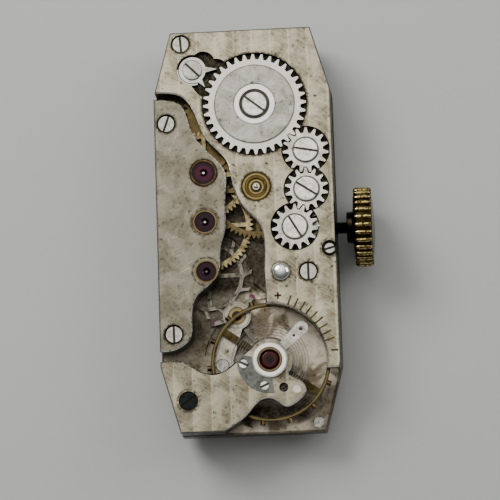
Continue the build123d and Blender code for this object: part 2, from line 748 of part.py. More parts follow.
def bridge_hollows():
    """Rooms for the barrel and the wheels under the bridges."""
    return [
        disc(BARREL_TIP + SIDE_GAP, 0, BARREL_CEILING, *BARREL),
        disc(CENTER_TIP + SIDE_GAP, 0, CENTER_CEILING, *CENTER),
        disc(THIRD_TIP + SIDE_GAP, 0, THIRD_CEILING, *THIRD),
        disc(FOURTH_TIP + FOURTH_SIDE_GAP, 0, FOURTH_CEILING, *FOURTH),
        disc(BALANCE_RECESS_RADIUS, 0, BALANCE_CEILING, *BALANCE),
    ]


def keyless_hollow():
    """Pocket under the plate for lever, yoke and setting bridge, round the island that holds them."""
    width = KEYLESS_RIGHT - KEYLESS_LEFT
    depth = KEYLESS_HIGH_Y - KEYLESS_LOW_Y
    middle = Pos((KEYLESS_LEFT + KEYLESS_RIGHT) / 2, (KEYLESS_LOW_Y + KEYLESS_HIGH_Y) / 2, 0)
    pocket = slab(middle * Rectangle(width, depth), 0, KEYLESS_CEILING)
    pocket += disc(YOKE_HUB_RADIUS + 2 * SIDE_GAP, 0, KEYLESS_CEILING, *POST)
    return pocket - disc(ISLAND_RADIUS, SETTING_BRIDGE_HIGH, KEYLESS_CEILING, *ISLAND)


def motion_hollows():
    """Pockets under the plate for the motion work."""
    room = MOTION_MODULE / 2
    return [
        disc(tip_radius(HOUR_TEETH, HOUR_MODULE) + SIDE_GAP, 0, HOUR_CEILING),
        disc(tip_radius(CANNON_TEETH, MOTION_MODULE) + room, 0, MOTION_CEILING),
        disc(tip_radius(CANNON_TEETH, MOTION_MODULE) + room, 0, MOTION_CEILING, *CENTER),
        disc(tip_radius(MINUTE_TEETH, MOTION_MODULE) + room, 0, MOTION_CEILING, *MINUTE),
        disc(tip_radius(SETTING_TEETH, MOTION_MODULE) + room, 0, MOTION_CEILING, *SETTING),
    ]


def plate_jewel_places():
    """Each lower jewel: its place, its seat height and its pivot radius."""
    return [
        (THIRD, PLATE_TOP, TRAIN_PIVOT_RADIUS), (FOURTH, PLATE_TOP, TRAIN_PIVOT_RADIUS),
        (ESCAPE, ESCAPE_FLOOR, TRAIN_PIVOT_RADIUS), (PALLET, BALANCE_RECESS_FLOOR, TRAIN_PIVOT_RADIUS),
        (BALANCE, BALANCE_RECESS_FLOOR, STAFF_PIVOT_RADIUS),
    ]


def pallet_foot():
    """Land of the plate under the foot of the pallet bridge, joined to the wall of the recess."""
    outward = polar(BALANCE_RECESS_RADIUS, heading(BALANCE, PALLET_SCREW), *BALANCE)
    return bar(PALLET_SCREW, outward, 2 * PALLET_FOOT_RADIUS)


def make_main_plate():
    """Main plate with its recesses on both sides and its fixed posts."""
    plate = slab(plate_outline(0), 0, PLATE_TOP)
    recess = disc(BALANCE_RECESS_RADIUS, BALANCE_RECESS_FLOOR, PLATE_TOP + OVERRUN, *BALANCE)
    recess -= slab(pallet_foot(), BALANCE_RECESS_FLOOR, PLATE_TOP + OVERRUN)
    pallet_room = disc(PALLET_POCKET_RADIUS, PALLET_POCKET_FLOOR, PLATE_TOP + OVERRUN, *PALLET)
    pallet_room -= slab(pallet_foot(), 0, PLATE_TOP + OVERRUN)
    top = PLATE_TOP + OVERRUN
    cuts = [
        disc(BARREL_BODY_RADIUS + SIDE_GAP / 2, BARREL_POCKET_FLOOR, top, *BARREL),
        disc(ARBOR_PIVOT_RADIUS + PIVOT_GAP, ARBOR_PIVOT_LOW, top, *BARREL),
        recess, pallet_room,
        disc(ESCAPE_TIP_RADIUS + SIDE_GAP, ESCAPE_FLOOR, top, *ESCAPE),
        disc(CENTER_ARBOR_RADIUS + PIVOT_GAP, 0, top, *CENTER),
        disc(POST_RADIUS, KEYLESS_CEILING - OVERRUN, top, *POST),
        disc(DETENT_SHANK_RADIUS, 0, top, *DETENT),
        disc(SETTING_SCREW_RADIUS, 0, SETTING_SCREW_TOP, *ISLAND),
        disc(PALLET_SCREW_SHANK_RADIUS, SCREW_LOW, top, *PALLET_SCREW),
        disc(PALLET_SCREW_SHANK_RADIUS, SCREW_LOW, top, *PLATE_SCREW),
        keyless_hollow(),
    ]
    cuts += [disc(PLATE_JEWEL_RADIUS, seat - PLATE_JEWEL_DEPTH, top, *place)
             for place, seat, pivot in plate_jewel_places()]
    cuts += [disc(SCREW_SHANK_RADIUS, SCREW_LOW, top, *place)
             for place in BARREL_SCREWS + TRAIN_SCREWS + [COCK_SCREW]]
    cuts += [disc(DIAL_FOOT_RADIUS, 0, DIAL_FOOT_DEPTH, *place) for place in on_plate(DIAL_FEET_SHARES)]
    plate = cut_all(plate, cuts + stem_hollows() + motion_hollows())
    setting_post_low = HOUR_HIGH + SIDE_GAP
    plate += disc(WORK_POST_RADIUS, WORK_POST_LOW, MOTION_CEILING, *MINUTE)
    plate += disc(WORK_POST_RADIUS, setting_post_low, MOTION_CEILING, *SETTING)
    return plate + disc(HAND_POST_RADIUS, HAND_POST_LOW, MOTION_CEILING)


def screw_seats(places, head_radius=SCREW_RECESS_RADIUS, depth=SCREW_HEAD_HEIGHT + SCREW_SINK):
    """Stepped holes for flush screws."""
    cuts = []
    for place in places:
        cuts.append(disc(head_radius, BRIDGE_TOP - depth, BRIDGE_TOP + OVERRUN, *place))
        cuts.append(disc(SCREW_SHANK_RADIUS, 0, BRIDGE_TOP, *place))
    return cuts


def winding_recesses():
    """Sunk seats of the winding wheels and of the click."""
    top = BRIDGE_TOP + OVERRUN
    upper_room = tip_radius(UPPER_TEETH, WINDING_MODULE) + RECESS_GAP
    lower_room = tip_radius(LOWER_TEETH, WINDING_MODULE) + RECESS_GAP
    crown_room = tip_radius(CROWN_WHEEL_TEETH, WINDING_MODULE) + RECESS_GAP
    arch = polar(CLICK_ARCH_REACH, CLICK_ARCH_TURN, *CLICK)
    cuts = [
        disc(RATCHET_TIP + RECESS_GAP, RECESS_FLOOR, top, *BARREL),
        disc(upper_room, RECESS_FLOOR, top, *UPPER),
        disc(lower_room, RECESS_FLOOR, top, *LOWER),
        disc(crown_room, CROWN_RECESS_FLOOR, top, *CROWN_WHEEL),
        disc(CLICK_RECESS_RADIUS, RECESS_FLOOR, top, *CLICK),
        disc(CLICK_ARCH_RADIUS, RECESS_FLOOR, top, *arch),
        disc(CLICK_SCREW_SHANK_RADIUS, CLICK_SCREW_LOW, top, *CLICK),
        disc(ARBOR_NECK_RADIUS + PIVOT_GAP, 0, top, *BARREL),
        disc(WHEEL_SCREW_SHANK_RADIUS, WHEEL_SCREW_LOW, top, *UPPER),
        disc(WHEEL_SCREW_SHANK_RADIUS, WHEEL_SCREW_LOW, top, *LOWER),
        disc(WHEEL_SCREW_SHANK_RADIUS, CROWN_SCREW_LOW, top, *CROWN_WHEEL),
    ]
    cuts += [slab(bar(CLICK, tip, CLICK_PASSAGE_WIDTH), RECESS_FLOOR, top) for tip in CLICK_TIPS]
    return cuts


def make_barrel_bridge():
    """Striped bridge that holds barrel, centre wheel and winding wheels."""
    bridge = beveled(barrel_bridge_outline(), PLATE_TOP, BRIDGE_TOP)
    cuts = bridge_hollows() + winding_recesses() + stem_hollows() + screw_seats(BARREL_SCREWS)
    cuts += [
        disc(CENTER_BUSH_RADIUS, SETTING_LOW, BRIDGE_TOP + OVERRUN, *CENTER),
        disc(CENTER_ARBOR_RADIUS + PIVOT_GAP, 0, BRIDGE_TOP, *CENTER),
        disc(POST_RADIUS, 0, BRIDGE_TOP + OVERRUN, *POST),
        disc(DETENT_RECESS_RADIUS, DETENT_HEAD_LOW, BRIDGE_TOP + OVERRUN, *DETENT),
        disc(DETENT_SHANK_RADIUS, 0, BRIDGE_TOP, *DETENT),
    ]
    return cut_all(bridge, cuts)


def train_jewel_places():
    """Each upper train jewel: its place and the radius of its setting."""
    return [(THIRD, THIRD_SETTING_RADIUS), (FOURTH, FOURTH_SETTING_RADIUS),
            (ESCAPE, ESCAPE_SETTING_RADIUS)]


def make_train_bridge():
    """Plain bridge that holds third, fourth and escape wheel."""
    bridge = beveled(train_bridge_outline(), PLATE_TOP, BRIDGE_TOP)
    cuts = bridge_hollows() + screw_seats(TRAIN_SCREWS)
    for place, radius in train_jewel_places():
        cuts.append(disc(radius, SETTING_LOW, BRIDGE_TOP + OVERRUN, *place))
        cuts.append(disc(TRAIN_ARBOR_RADIUS + SIDE_GAP, 0, BRIDGE_TOP, *place))
    fourth_leaf_room = tip_radius(FOURTH_PINION_LEAVES, THIRD_MODULE) + PINION_CAVITY_GAP
    escape_leaf_room = tip_radius(ESCAPE_PINION_LEAVES, FOURTH_MODULE) + PINION_CAVITY_GAP
    cuts.append(disc(fourth_leaf_room, 0, TRAIN_CEILING, *FOURTH))
    cuts.append(disc(escape_leaf_room, 0, FOURTH_CEILING, *ESCAPE))
    return cut_all(bridge, cuts)


def make_balance_cock():
    """Cock whose foot stands outside the balance and whose arm reaches over it."""
    cock = beveled(cock_outline(), PLATE_TOP, BRIDGE_TOP)
    cuts = [
        disc(BALANCE_RECESS_RADIUS, 0, COCK_ARM_LOW, *BALANCE),
        disc(CAP_SETTING_RADIUS, 0, BRIDGE_TOP + OVERRUN, *BALANCE),
        disc(STUD_RADIUS, 0, BRIDGE_TOP + OVERRUN, *STUD),
        disc(COCK_HOLE_RADIUS, 0, BRIDGE_TOP + OVERRUN, COCK_HOLE_X, COCK_HOLE_Y),
        disc(TRAIN_SLOT_RADIUS, 0, BRIDGE_TOP + OVERRUN, TRAIN_SLOT_X, TRAIN_SLOT_Y),
    ]
    cuts += [disc(CAP_SCREW_SHANK_RADIUS, COCK_ARM_LOW, BRIDGE_TOP + OVERRUN, *place)
             for place in CAP_SCREWS]
    return cut_all(cock, cuts + screw_seats([COCK_SCREW]))


def make_pallet_bridge():
    """Low bridge over the pallet staff, cut round the roller."""
    waist = PALLET_BOSS_RADIUS * PALLET_WAIST_SHARE
    face = Pos(*PALLET, 0) * Circle(PALLET_BOSS_RADIUS) + bar(PALLET, PALLET_SCREW, 2 * waist)
    face += Pos(*PALLET_SCREW, 0) * Circle(PALLET_FOOT_RADIUS)
    face -= Pos(*BALANCE, 0) * Circle(PALLET_CUT_RADIUS)
    bridge = slab(face, PLATE_TOP, PALLET_BRIDGE_TOP)
    bridge -= disc(PALLET_SCREW_SHANK_RADIUS, 0, PALLET_BRIDGE_TOP + OVERRUN, *PALLET_SCREW)
    return bridge - disc(TRAIN_PIVOT_RADIUS + PIVOT_GAP, 0, PALLET_BRIDGE_TOP + OVERRUN, *PALLET)


keep("main_plate", make_main_plate())
keep("barrel_bridge", make_barrel_bridge())
keep("train_bridge", make_train_bridge())
keep("balance_cock", make_balance_cock())
keep("pallet_bridge", make_pallet_bridge())


# Barrel
def make_barrel():
    """Toothed drum with cover, arbor and mainspring."""
    drum = disc(BARREL_BODY_RADIUS, BARREL_LOW, BARREL_TOP, *BARREL)
    drum += slab(Pos(*BARREL, 0) * fine_gear(BARREL_TEETH, BARREL_MODULE, 0), BARREL_RIM_LOW, BARREL_TOP)
    inner = BARREL_BODY_RADIUS - BARREL_WALL
    drum -= disc(inner, BARREL_LOW + BARREL_FLOOR, BARREL_TOP + OVERRUN, *BARREL)
    drum -= disc(ARBOR_NECK_RADIUS + PIVOT_GAP, 0, BARREL_TOP, *BARREL)
    cover_low = BARREL_TOP - BARREL_COVER
    cover = tube(inner, ARBOR_NECK_RADIUS + PIVOT_GAP, cover_low, BARREL_TOP, *BARREL)
    spring_low = BARREL_LOW + BARREL_FLOOR + RUN_GAP
    spring_outer = inner - MAINSPRING_THICKNESS / 2
    spring_inner = ARBOR_HUB_RADIUS + MAINSPRING_THICKNESS / 2 + RUN_GAP
    pitch = (spring_outer - spring_inner) / MAINSPRING_COILS
    strip = spiral(spring_outer, pitch, 2 * MAINSPRING_COILS, MAINSPRING_THICKNESS, 0)
    print("mainspring least gap", round(spiral_gap(spring_outer, pitch, 2 * MAINSPRING_COILS,
                                                   MAINSPRING_THICKNESS), 3))
    keep("barrel_drum", drum)
    keep("barrel_cover", cover)
    keep("mainspring", slab(Pos(*BARREL, 0) * strip, spring_low, cover_low - RUN_GAP))


def make_barrel_arbor():
    """Arbor with hub, necks, lower pivot and the square that carries the ratchet wheel."""
    hub_low = BARREL_LOW + BARREL_FLOOR + RUN_GAP
    hub_high = BARREL_TOP - BARREL_COVER - RUN_GAP
    arbor = disc(ARBOR_HUB_RADIUS, hub_low, hub_high, *BARREL)
    arbor += disc(ARBOR_NECK_RADIUS, BARREL_POCKET_FLOOR + RUN_GAP, WINDING_LOW, *BARREL)
    arbor += disc(ARBOR_PIVOT_RADIUS, ARBOR_PIVOT_LOW, hub_low, *BARREL)
    arbor += slab(Pos(*BARREL, 0) * Rectangle(ARBOR_SQUARE, ARBOR_SQUARE), WINDING_LOW, WINDING_HIGH)
    keep("barrel_arbor", arbor - disc(RATCHET_SCREW_SHANK_RADIUS, RATCHET_SCREW_LOW, WINDING_HIGH, *BARREL))


def make_winding_wheels():
    """Ratchet wheel and the three wheels between it and the winding pinion."""
    face = gear(RATCHET_TEETH, WINDING_MODULE, 0) - Rectangle(ARBOR_SQUARE, ARBOR_SQUARE)
    ratchet = slab(Pos(*BARREL, 0) * face, WINDING_LOW, WINDING_HIGH)
    boss_top = WINDING_HIGH + RATCHET_BOSS_RISE
    ratchet += tube(RATCHET_BOSS_OUTER, RATCHET_BOSS_INNER, WINDING_HIGH - RATCHET_BOSS_RISE, boss_top, *BARREL)
    groove = tube(RATCHET_BOSS_MIDDLE + HEAD_CHAMFER, RATCHET_BOSS_MIDDLE - HEAD_CHAMFER,
                  boss_top - HEAD_CHAMFER, boss_top, *BARREL)
    keep("ratchet_wheel", ratchet - groove)
    keep("ratchet_screw", screw(BARREL, RATCHET_SCREW_RADIUS, WINDING_HIGH,
                                WINDING_HIGH + RATCHET_SCREW_HEAD_HEIGHT,
                                RATCHET_SCREW_SHANK_RADIUS, RATCHET_SCREW_LOW, 141))
    wheels = [
        ("upper_winding_wheel", UPPER, UPPER_TEETH, UPPER_TURN, WINDING_LOW, WINDING_HIGH),
        ("lower_winding_wheel", LOWER, LOWER_TEETH, LOWER_TURN, WINDING_LOW, WINDING_HIGH),
        ("crown_wheel", CROWN_WHEEL, CROWN_WHEEL_TEETH, CROWN_WHEEL_TURN, CROWN_WHEEL_LOW, CROWN_WHEEL_HIGH),
    ]
    for name, place, teeth, turn, low, high in wheels:
        outline = gear(teeth, WINDING_MODULE, turn) - Circle(WHEEL_SCREW_SHANK_RADIUS + PIVOT_GAP)
        keep(name, slab(Pos(*place, 0) * outline, low, high))
    screws = []
    for place, low, seat, turn in ((UPPER, WHEEL_SCREW_LOW, WINDING_HIGH, 169),
                                   (LOWER, WHEEL_SCREW_LOW, WINDING_HIGH, 146),
                                   (CROWN_WHEEL, CROWN_SCREW_LOW, CROWN_WHEEL_HIGH, 120)):
        seat += RUN_GAP
        screws.append(screw(place, WHEEL_SCREW_HEAD_RADIUS, seat, seat + WHEEL_SCREW_HEAD_HEIGHT,
                            WHEEL_SCREW_SHANK_RADIUS, low, turn))
    keep("winding_wheel_screws", *screws)


def make_click():
    """Click with two beaks beside the ratchet teeth, its screw and its spring."""
    face = Circle(CLICK_BODY_RADIUS)
    for tip in CLICK_TIPS:
        along = heading(CLICK, tip)
        reach = math.dist(CLICK, tip)
        half = CLICK_BEAK_WIDTH / 2
        beak = polygon([(0, -half), (reach, 0), (0, half)])
        face += Rot(0, 0, along) * beak
    face -= Circle(CLICK_SCREW_SHANK_RADIUS + PIVOT_GAP)
    keep("click", slab(Pos(*CLICK, 0) * face, WINDING_LOW, CLICK_HIGH))
    head_low = CLICK_HIGH + RUN_GAP
    keep("click_screw", screw(CLICK, CLICK_SCREW_HEAD_RADIUS, head_low, head_low + CLICK_SCREW_HEAD_HEIGHT,
                              CLICK_SCREW_SHANK_RADIUS, CLICK_SCREW_LOW, 135))
    outer = CLICK_RECESS_RADIUS
    inner = outer - CLICK_SPRING_WIDTH
    sector = polygon([(0, 0), polar(2 * outer, 175), polar(2 * outer, 235), polar(2 * outer, 290)])
    blade = (Circle(outer) - Circle(inner)) & sector
    keep("click_spring", slab(Pos(*CLICK, 0) * blade, RECESS_FLOOR, CLICK_HIGH - HEAD_CHAMFER))


def make_going_train():
    """Centre, third, fourth and escape wheels with their pinions."""
    leaves = slab(Pos(*CENTER, 0) * gear(CENTER_PINION_LEAVES, BARREL_MODULE, CENTER_PINION_TURN),
                  CENTER_PINION_LOW, CENTER_PINION_HIGH)
    arbor = disc(CENTER_ARBOR_RADIUS, MOTION_HIGH, SETTING_LOW, *CENTER)
    neck = disc(CENTER_PIVOT_RADIUS, MOTION_LOW, BRIDGE_TOP, *CENTER)
    driving = slab(Pos(*CENTER, 0) * gear(CANNON_TEETH, MOTION_MODULE, DRIVING_TURN), MOTION_LOW, MOTION_HIGH)
    keep("center_pinion", leaves + arbor + neck + driving)
    keep("center_wheel", train_wheel(CENTER, CENTER_WHEEL_TEETH, CENTER_MODULE, 0,
                                     CENTER_WHEEL_LOW, CENTER_WHEEL_HIGH, CENTER_ARBOR_RADIUS))
    keep("third_pinion", pinion(THIRD, THIRD_PINION_LEAVES, CENTER_MODULE, THIRD_PINION_TURN,
                                THIRD_PINION_LOW, THIRD_PINION_HIGH, PLATE_TOP, SETTING_LOW))
    keep("third_wheel", train_wheel(THIRD, THIRD_WHEEL_TEETH, THIRD_MODULE, 0,
                                    THIRD_WHEEL_LOW, THIRD_WHEEL_HIGH, TRAIN_ARBOR_RADIUS))
    keep("fourth_pinion", pinion(FOURTH, FOURTH_PINION_LEAVES, THIRD_MODULE, FOURTH_PINION_TURN,
                                 FOURTH_PINION_LOW, FOURTH_PINION_HIGH, PLATE_TOP, SETTING_LOW))
    keep("fourth_wheel", train_wheel(FOURTH, FOURTH_WHEEL_TEETH, FOURTH_MODULE, 0,
                                     FOURTH_WHEEL_LOW, FOURTH_WHEEL_HIGH, TRAIN_ARBOR_RADIUS))
    keep("escape_pinion", pinion(ESCAPE, ESCAPE_PINION_LEAVES, FOURTH_MODULE, ESCAPE_PINION_TURN,
                                 ESCAPE_PINION_LOW, ESCAPE_PINION_HIGH, ESCAPE_FLOOR, SETTING_LOW))
    keep("escape_wheel", make_escape_wheel())


# Shares of the escape tooth's height and of its pitch, from root round the club to root
CLUB_SHARES = [(0.0, -0.17), (0.45, -0.02), (0.90, 0.07), (1.0, 0.31), (0.50, 0.17), (0.0, 0.10)]


def make_escape_wheel():
    """Club-toothed escape wheel."""
    height = ESCAPE_TIP_RADIUS - ESCAPE_ROOT_RADIUS
    step = 360 / ESCAPE_TEETH
    points = []
    for tooth in range(ESCAPE_TEETH):
        for rise, share in CLUB_SHARES:
            points.append(polar(ESCAPE_ROOT_RADIUS + rise * height, (tooth + share) * step))
    face = polygon(points) - windows(ESCAPE_RIM_RADIUS, WHEEL_HUB, SPOKE_WIDTH) - Circle(TRAIN_ARBOR_RADIUS)
    return slab(Pos(*ESCAPE, 0) * face, ESCAPE_LOW, ESCAPE_HIGH)


# Jewels
def cupped_jewel(radius, low, high, bore, place):
    """Ring of ruby with an oil cup round its bore."""
    stone = tube(radius, bore, low, high, *place)
    cup = Pos(*place, high - JEWEL_CUP_DEPTH / 2)
    return stone - cup * Cone(bore, JEWEL_CUP_RADIUS, JEWEL_CUP_DEPTH)


def make_jewels():
    """Hole jewels with their settings, the brass bush and the jewels of the plate."""
    settings, stones = [], []
    bore = TRAIN_PIVOT_RADIUS + PIVOT_GAP
    for place, radius in train_jewel_places():
        settings.append(tube(radius, radius - SETTING_WIDTH, SETTING_LOW, BRIDGE_TOP + SETTING_PROUD, *place))
        stones.append(cupped_jewel(radius - SETTING_WIDTH, SETTING_LOW, TRAIN_JEWEL_TOP, bore, place))
    setting_top = REGULATOR_HIGH + SETTING_PROUD
    settings.append(tube(CAP_SETTING_RADIUS, CAP_JEWEL_RADIUS, COCK_ARM_LOW, setting_top, *BALANCE))
    stones.append(tube(CAP_JEWEL_RADIUS, STAFF_PIVOT_RADIUS + PIVOT_GAP, COCK_ARM_LOW, HOLE_JEWEL_TOP, *BALANCE))
    keep("jewel_settings", *settings)
    keep("hole_jewels", *stones)
    bush = tube(CENTER_BUSH_RADIUS, CENTER_PIVOT_RADIUS + PIVOT_GAP, SETTING_LOW, BRIDGE_TOP, *CENTER)
    dish = disc(CENTER_DISH_RADIUS, BRIDGE_TOP - CENTER_DISH_DEPTH, BRIDGE_TOP, *CENTER)
    keep("center_bush", bush - dish)
    keep("plate_jewels", *[tube(PLATE_JEWEL_RADIUS, pivot + PIVOT_GAP, seat - PLATE_JEWEL_DEPTH, seat, *place)
                           for place, seat, pivot in plate_jewel_places()])


# Escapement and balance
def fork_stones():
    """The two stones of the fork in its own frame, +X towards the balance."""
    reach = math.dist(PALLET, ESCAPE)
    stones = []
    for side in (-1, 1):
        middle = ESCAPE_TIP_RADIUS + STONE_GAP + STONE_LENGTH / 2
        stone = Pos(middle, 0, 0) * Rectangle(STONE_LENGTH, STONE_WIDTH)
        stones.append(Pos(-reach, 0, 0) * Rot(0, 0, side * STONE_TURN) * stone)
    return stones


def make_fork():
    """Pallet fork with stones and staff."""
    reach = math.dist(PALLET, BALANCE) - ROLLER_PIN_ORBIT - FORK_GAP_TO_PIN
    outer = ESCAPE_TIP_RADIUS + STONE_GAP + STONE_LENGTH
    face = Circle(FORK_HUB_RADIUS)
    root, end = FORK_ROOT_WIDTH / 2, FORK_END_WIDTH / 2
    face += polygon([(0, -root), (reach, -end), (reach, end), (0, root)])
    face += Pos(reach, 0, 0) * Circle(FORK_HORN_RADIUS)
    face -= Pos(reach + FORK_HORN_RADIUS - FORK_NOTCH_DEPTH / 2, 0, 0) * Rectangle(FORK_NOTCH_DEPTH, FORK_NOTCH_WIDTH)
    for side in (-1, 1):
        elbow = polar(outer - STONE_WIDTH / 2, side * STONE_TURN, -math.dist(PALLET, ESCAPE), 0)
        face += bar((0, 0), elbow, FORK_ARM_WIDTH)
    stones = fork_stones()
    for stone in stones:
        face -= stone
    placed = Pos(*PALLET, 0) * Rot(0, 0, heading(ESCAPE, PALLET))
    lever = slab(placed * (face - Circle(TRAIN_ARBOR_RADIUS)), FORK_LOW, FORK_HIGH)
    keep("pallet_fork", lever.solids().sort_by(SortBy.VOLUME)[-1])
    keep("pallet_stones", *[slab(placed * stone, FORK_LOW - HEAD_CHAMFER / 2, FORK_HIGH) for stone in stones])
    staff = disc(TRAIN_ARBOR_RADIUS, BALANCE_RECESS_FLOOR + RUN_GAP, PLATE_TOP - RUN_GAP, *PALLET)
    staff += disc(TRAIN_PIVOT_RADIUS, BALANCE_RECESS_FLOOR - PLATE_JEWEL_DEPTH, PALLET_BRIDGE_TOP, *PALLET)
    keep("pallet_staff", staff)


def make_balance():
    """Balance with its rim screws, staff, roller and hairspring."""
    hub = Circle(BALANCE_HUB_RADIUS) - Circle(STAFF_RADIUS)
    arms = Rot(0, 0, ARM_TURN) * Rectangle(2 * (RIM_INNER + RUN_GAP), ARM_WIDTH) - Circle(STAFF_RADIUS)
    wheel = tube(RIM_OUTER, RIM_INNER, RIM_LOW, RIM_HIGH) + slab(hub + arms, ARM_LOW, ARM_HIGH)
    middle = (RIM_LOW + RIM_HIGH) / 2
    heads = []
    for index in range(RIM_SCREWS):
        turn = Rot(0, 0, ARM_TURN + (index + 0.5) * 360 / RIM_SCREWS)
        aim = turn * Pos(RIM_OUTER, 0, middle) * Rot(0, 90, 0)
        head = RegularPolygon(RIM_SCREW_HEAD_RADIUS, RIM_SCREW_SIDES)
        heads.append(extrude(aim * head, amount=RIM_SCREW_HEAD_LENGTH))
    place = Pos(*BALANCE, 0)
    keep("balance_wheel", place * wheel)
    keep("balance_rim_screws", *[place * head for head in heads])
    staff = disc(STAFF_RADIUS, BALANCE_RECESS_FLOOR + RUN_GAP, COCK_ARM_LOW - RUN_GAP, *BALANCE)
    staff += disc(STAFF_PIVOT_RADIUS, BALANCE_RECESS_FLOOR - PLATE_JEWEL_DEPTH, HOLE_JEWEL_TOP, *BALANCE)
    staff += tube(COLLET_RADIUS, STAFF_RADIUS, SPRING_LOW, SPRING_HIGH, *BALANCE)
    keep("balance_staff", staff)
    pin_place = polar(ROLLER_PIN_ORBIT, heading(BALANCE, PALLET), *BALANCE)
    roller = tube(ROLLER_RADIUS, STAFF_RADIUS, ROLLER_LOW, ROLLER_HIGH, *BALANCE)
    keep("roller", roller + disc(ROLLER_PIN_RADIUS, ROLLER_PIN_LOW, ROLLER_HIGH, *pin_place))
    inner = COLLET_RADIUS + RUN_GAP + SPRING_THICKNESS / 2
    pitch = 2 * (SPRING_OUTER - inner) / SPRING_HALF_TURNS
    strip = spiral(SPRING_OUTER, pitch, SPRING_HALF_TURNS, SPRING_THICKNESS, SPRING_END_TURN)
    print("hairspring least gap", round(spiral_gap(SPRING_OUTER, pitch, SPRING_HALF_TURNS, SPRING_THICKNESS), 3))
    keep("hairspring", slab(place * strip, SPRING_LOW, SPRING_HIGH))


def make_cock_furniture():
    """Balance jewels, cap plate, regulator and stud on the cock."""
    cap = disc(CAP_JEWEL_RADIUS, CAP_JEWEL_LOW, CAP_JEWEL_TOP, *BALANCE)
    keep("balance_cap_jewel", fillet(cap.edges().group_by(Axis.Z)[-1], CAP_JEWEL_RADIUS / 3))
    reach = 2 * CAP_PLATE_RADIUS
    middle = (CAP_PLATE_START + CAP_PLATE_END) / 2
    wedge = polygon([(0, 0)] + [polar(reach, turn) for turn in (CAP_PLATE_START, middle, CAP_PLATE_END)])
    face = (Circle(CAP_PLATE_RADIUS) & wedge) + Circle(REGULATOR_RING_RADIUS)
    face = Pos(*BALANCE, 0) * (face - Circle(CAP_SETTING_RADIUS))
    for place in CAP_SCREWS:
        face -= Pos(*place, 0) * Circle(CAP_SCREW_SHANK_RADIUS)
    plate_top = BRIDGE_TOP + CAP_PLATE_THICKNESS
    keep("cap_plate", slab(face, BRIDGE_TOP, plate_top))
    keep("cap_plate_screws", *[
        screw(place, CAP_SCREW_HEAD_RADIUS, plate_top, plate_top + CAP_SCREW_HEAD_HEIGHT,
              CAP_SCREW_SHANK_RADIUS, COCK_ARM_LOW, turn)
        for place, turn in zip(CAP_SCREWS, (153, 24))])
    root, tip = REGULATOR_ROOT_WIDTH / 2, REGULATOR_TIP_WIDTH / 2
    arm = polygon([(CAP_SETTING_RADIUS, -root), (REGULATOR_TIP - tip, -tip), (REGULATOR_TIP - tip, tip),
                   (CAP_SETTING_RADIUS, root)])
    arm += Pos(REGULATOR_TIP - tip, 0, 0) * Circle(tip)
    hand = Circle(REGULATOR_RING_RADIUS) + arm - Circle(CAP_SETTING_RADIUS + PIVOT_GAP)
    aim = Pos(*BALANCE, 0) * Rot(0, 0, REGULATOR_TURN)
    regulator = slab(aim * hand, REGULATOR_LOW, REGULATOR_HIGH)
    step = CURB_PIN_RADIUS + SPRING_THICKNESS / 2 + RUN_GAP
    for side in (-1, 1):
        pin = aim * Pos(SPRING_OUTER + side * step, 0, 0) * Circle(CURB_PIN_RADIUS)
        regulator += slab(pin, SPRING_LOW, REGULATOR_LOW)
    keep("regulator", regulator)
    keep("hairspring_stud", disc(STUD_RADIUS, STUD_LOW, BRIDGE_TOP + SETTING_PROUD, *STUD))


make_barrel()
make_barrel_arbor()
make_winding_wheels()
make_click()
make_going_train()
make_jewels()
make_fork()
make_balance()
make_cock_furniture()


# Stem, clutch and crown
def make_stem():
    """Winding pinion, sliding clutch, stem with its square, and fluted crown."""
    mean = (CROWN_WHEEL_TEETH / 2) * WINDING_MODULE
    gap_turn = round(-CROWN_WHEEL_TURN / (360 / CROWN_WHEEL_TEETH) - 0.5) + 0.5
    gap_angle = CROWN_WHEEL_TURN + gap_turn * 360 / CROWN_WHEEL_TEETH
    gap_y = CROWN_WHEEL[1] + mean * math.sin(math.radians(gap_angle))
    pinion_turn = 180 - math.degrees(gap_y / (mean * PINION_TEETH / CROWN_WHEEL_TEETH))
    face = toothed(PINION_TEETH, PINION_ROOT, PINION_RADIUS, pinion_turn, ROOT_SHARE, PINION_TIP_SHARE)
    keep("winding_pinion", along_stem(face - Circle(STEM_BODY_RADIUS), PINION_INNER_X, PINION_OUTER_X))
    square = Rectangle(STEM_SQUARE, STEM_SQUARE)
    clutch = rod(CLUTCH_RADIUS, CLUTCH_INNER_X, CLUTCH_OUTER_X)
    groove = Circle(CLUTCH_RADIUS) - Circle(CLUTCH_GROOVE_RADIUS)
    clutch -= along_stem(groove, CLUTCH_GROOVE_X - CLUTCH_GROOVE_WIDTH / 2,
                         CLUTCH_GROOVE_X + CLUTCH_GROOVE_WIDTH / 2)
    inner_ring = STEM_SQUARE * 0.75
    notches = toothed(CLUTCH_TEETH, inner_ring, CLUTCH_RADIUS + RUN_GAP, 0) - Circle(inner_ring)
    clutch -= along_stem(notches, CLUTCH_INNER_X, CLUTCH_INNER_X + CLUTCH_TOOTH_DEPTH)
    clutch -= along_stem(square, CLUTCH_INNER_X, CLUTCH_OUTER_X)
    keep("sliding_clutch", clutch)
    stem = rod(STEM_PIVOT_RADIUS, STEM_PIVOT_X, STEM_SQUARE_X)
    stem += along_stem(square, STEM_SQUARE_X, STEM_BODY_X)
    stem += rod(STEM_BODY_RADIUS, STEM_BODY_X, CROWN_BORE_X)
    ring = Circle(STEM_BODY_RADIUS) - Circle(STEM_GROOVE_RADIUS)
    stem -= along_stem(ring, STEM_GROOVE_X - STEM_GROOVE_WIDTH / 2, STEM_GROOVE_X + STEM_GROOVE_WIDTH / 2)
    keep("winding_stem", stem)
    keep("crown", make_crown())


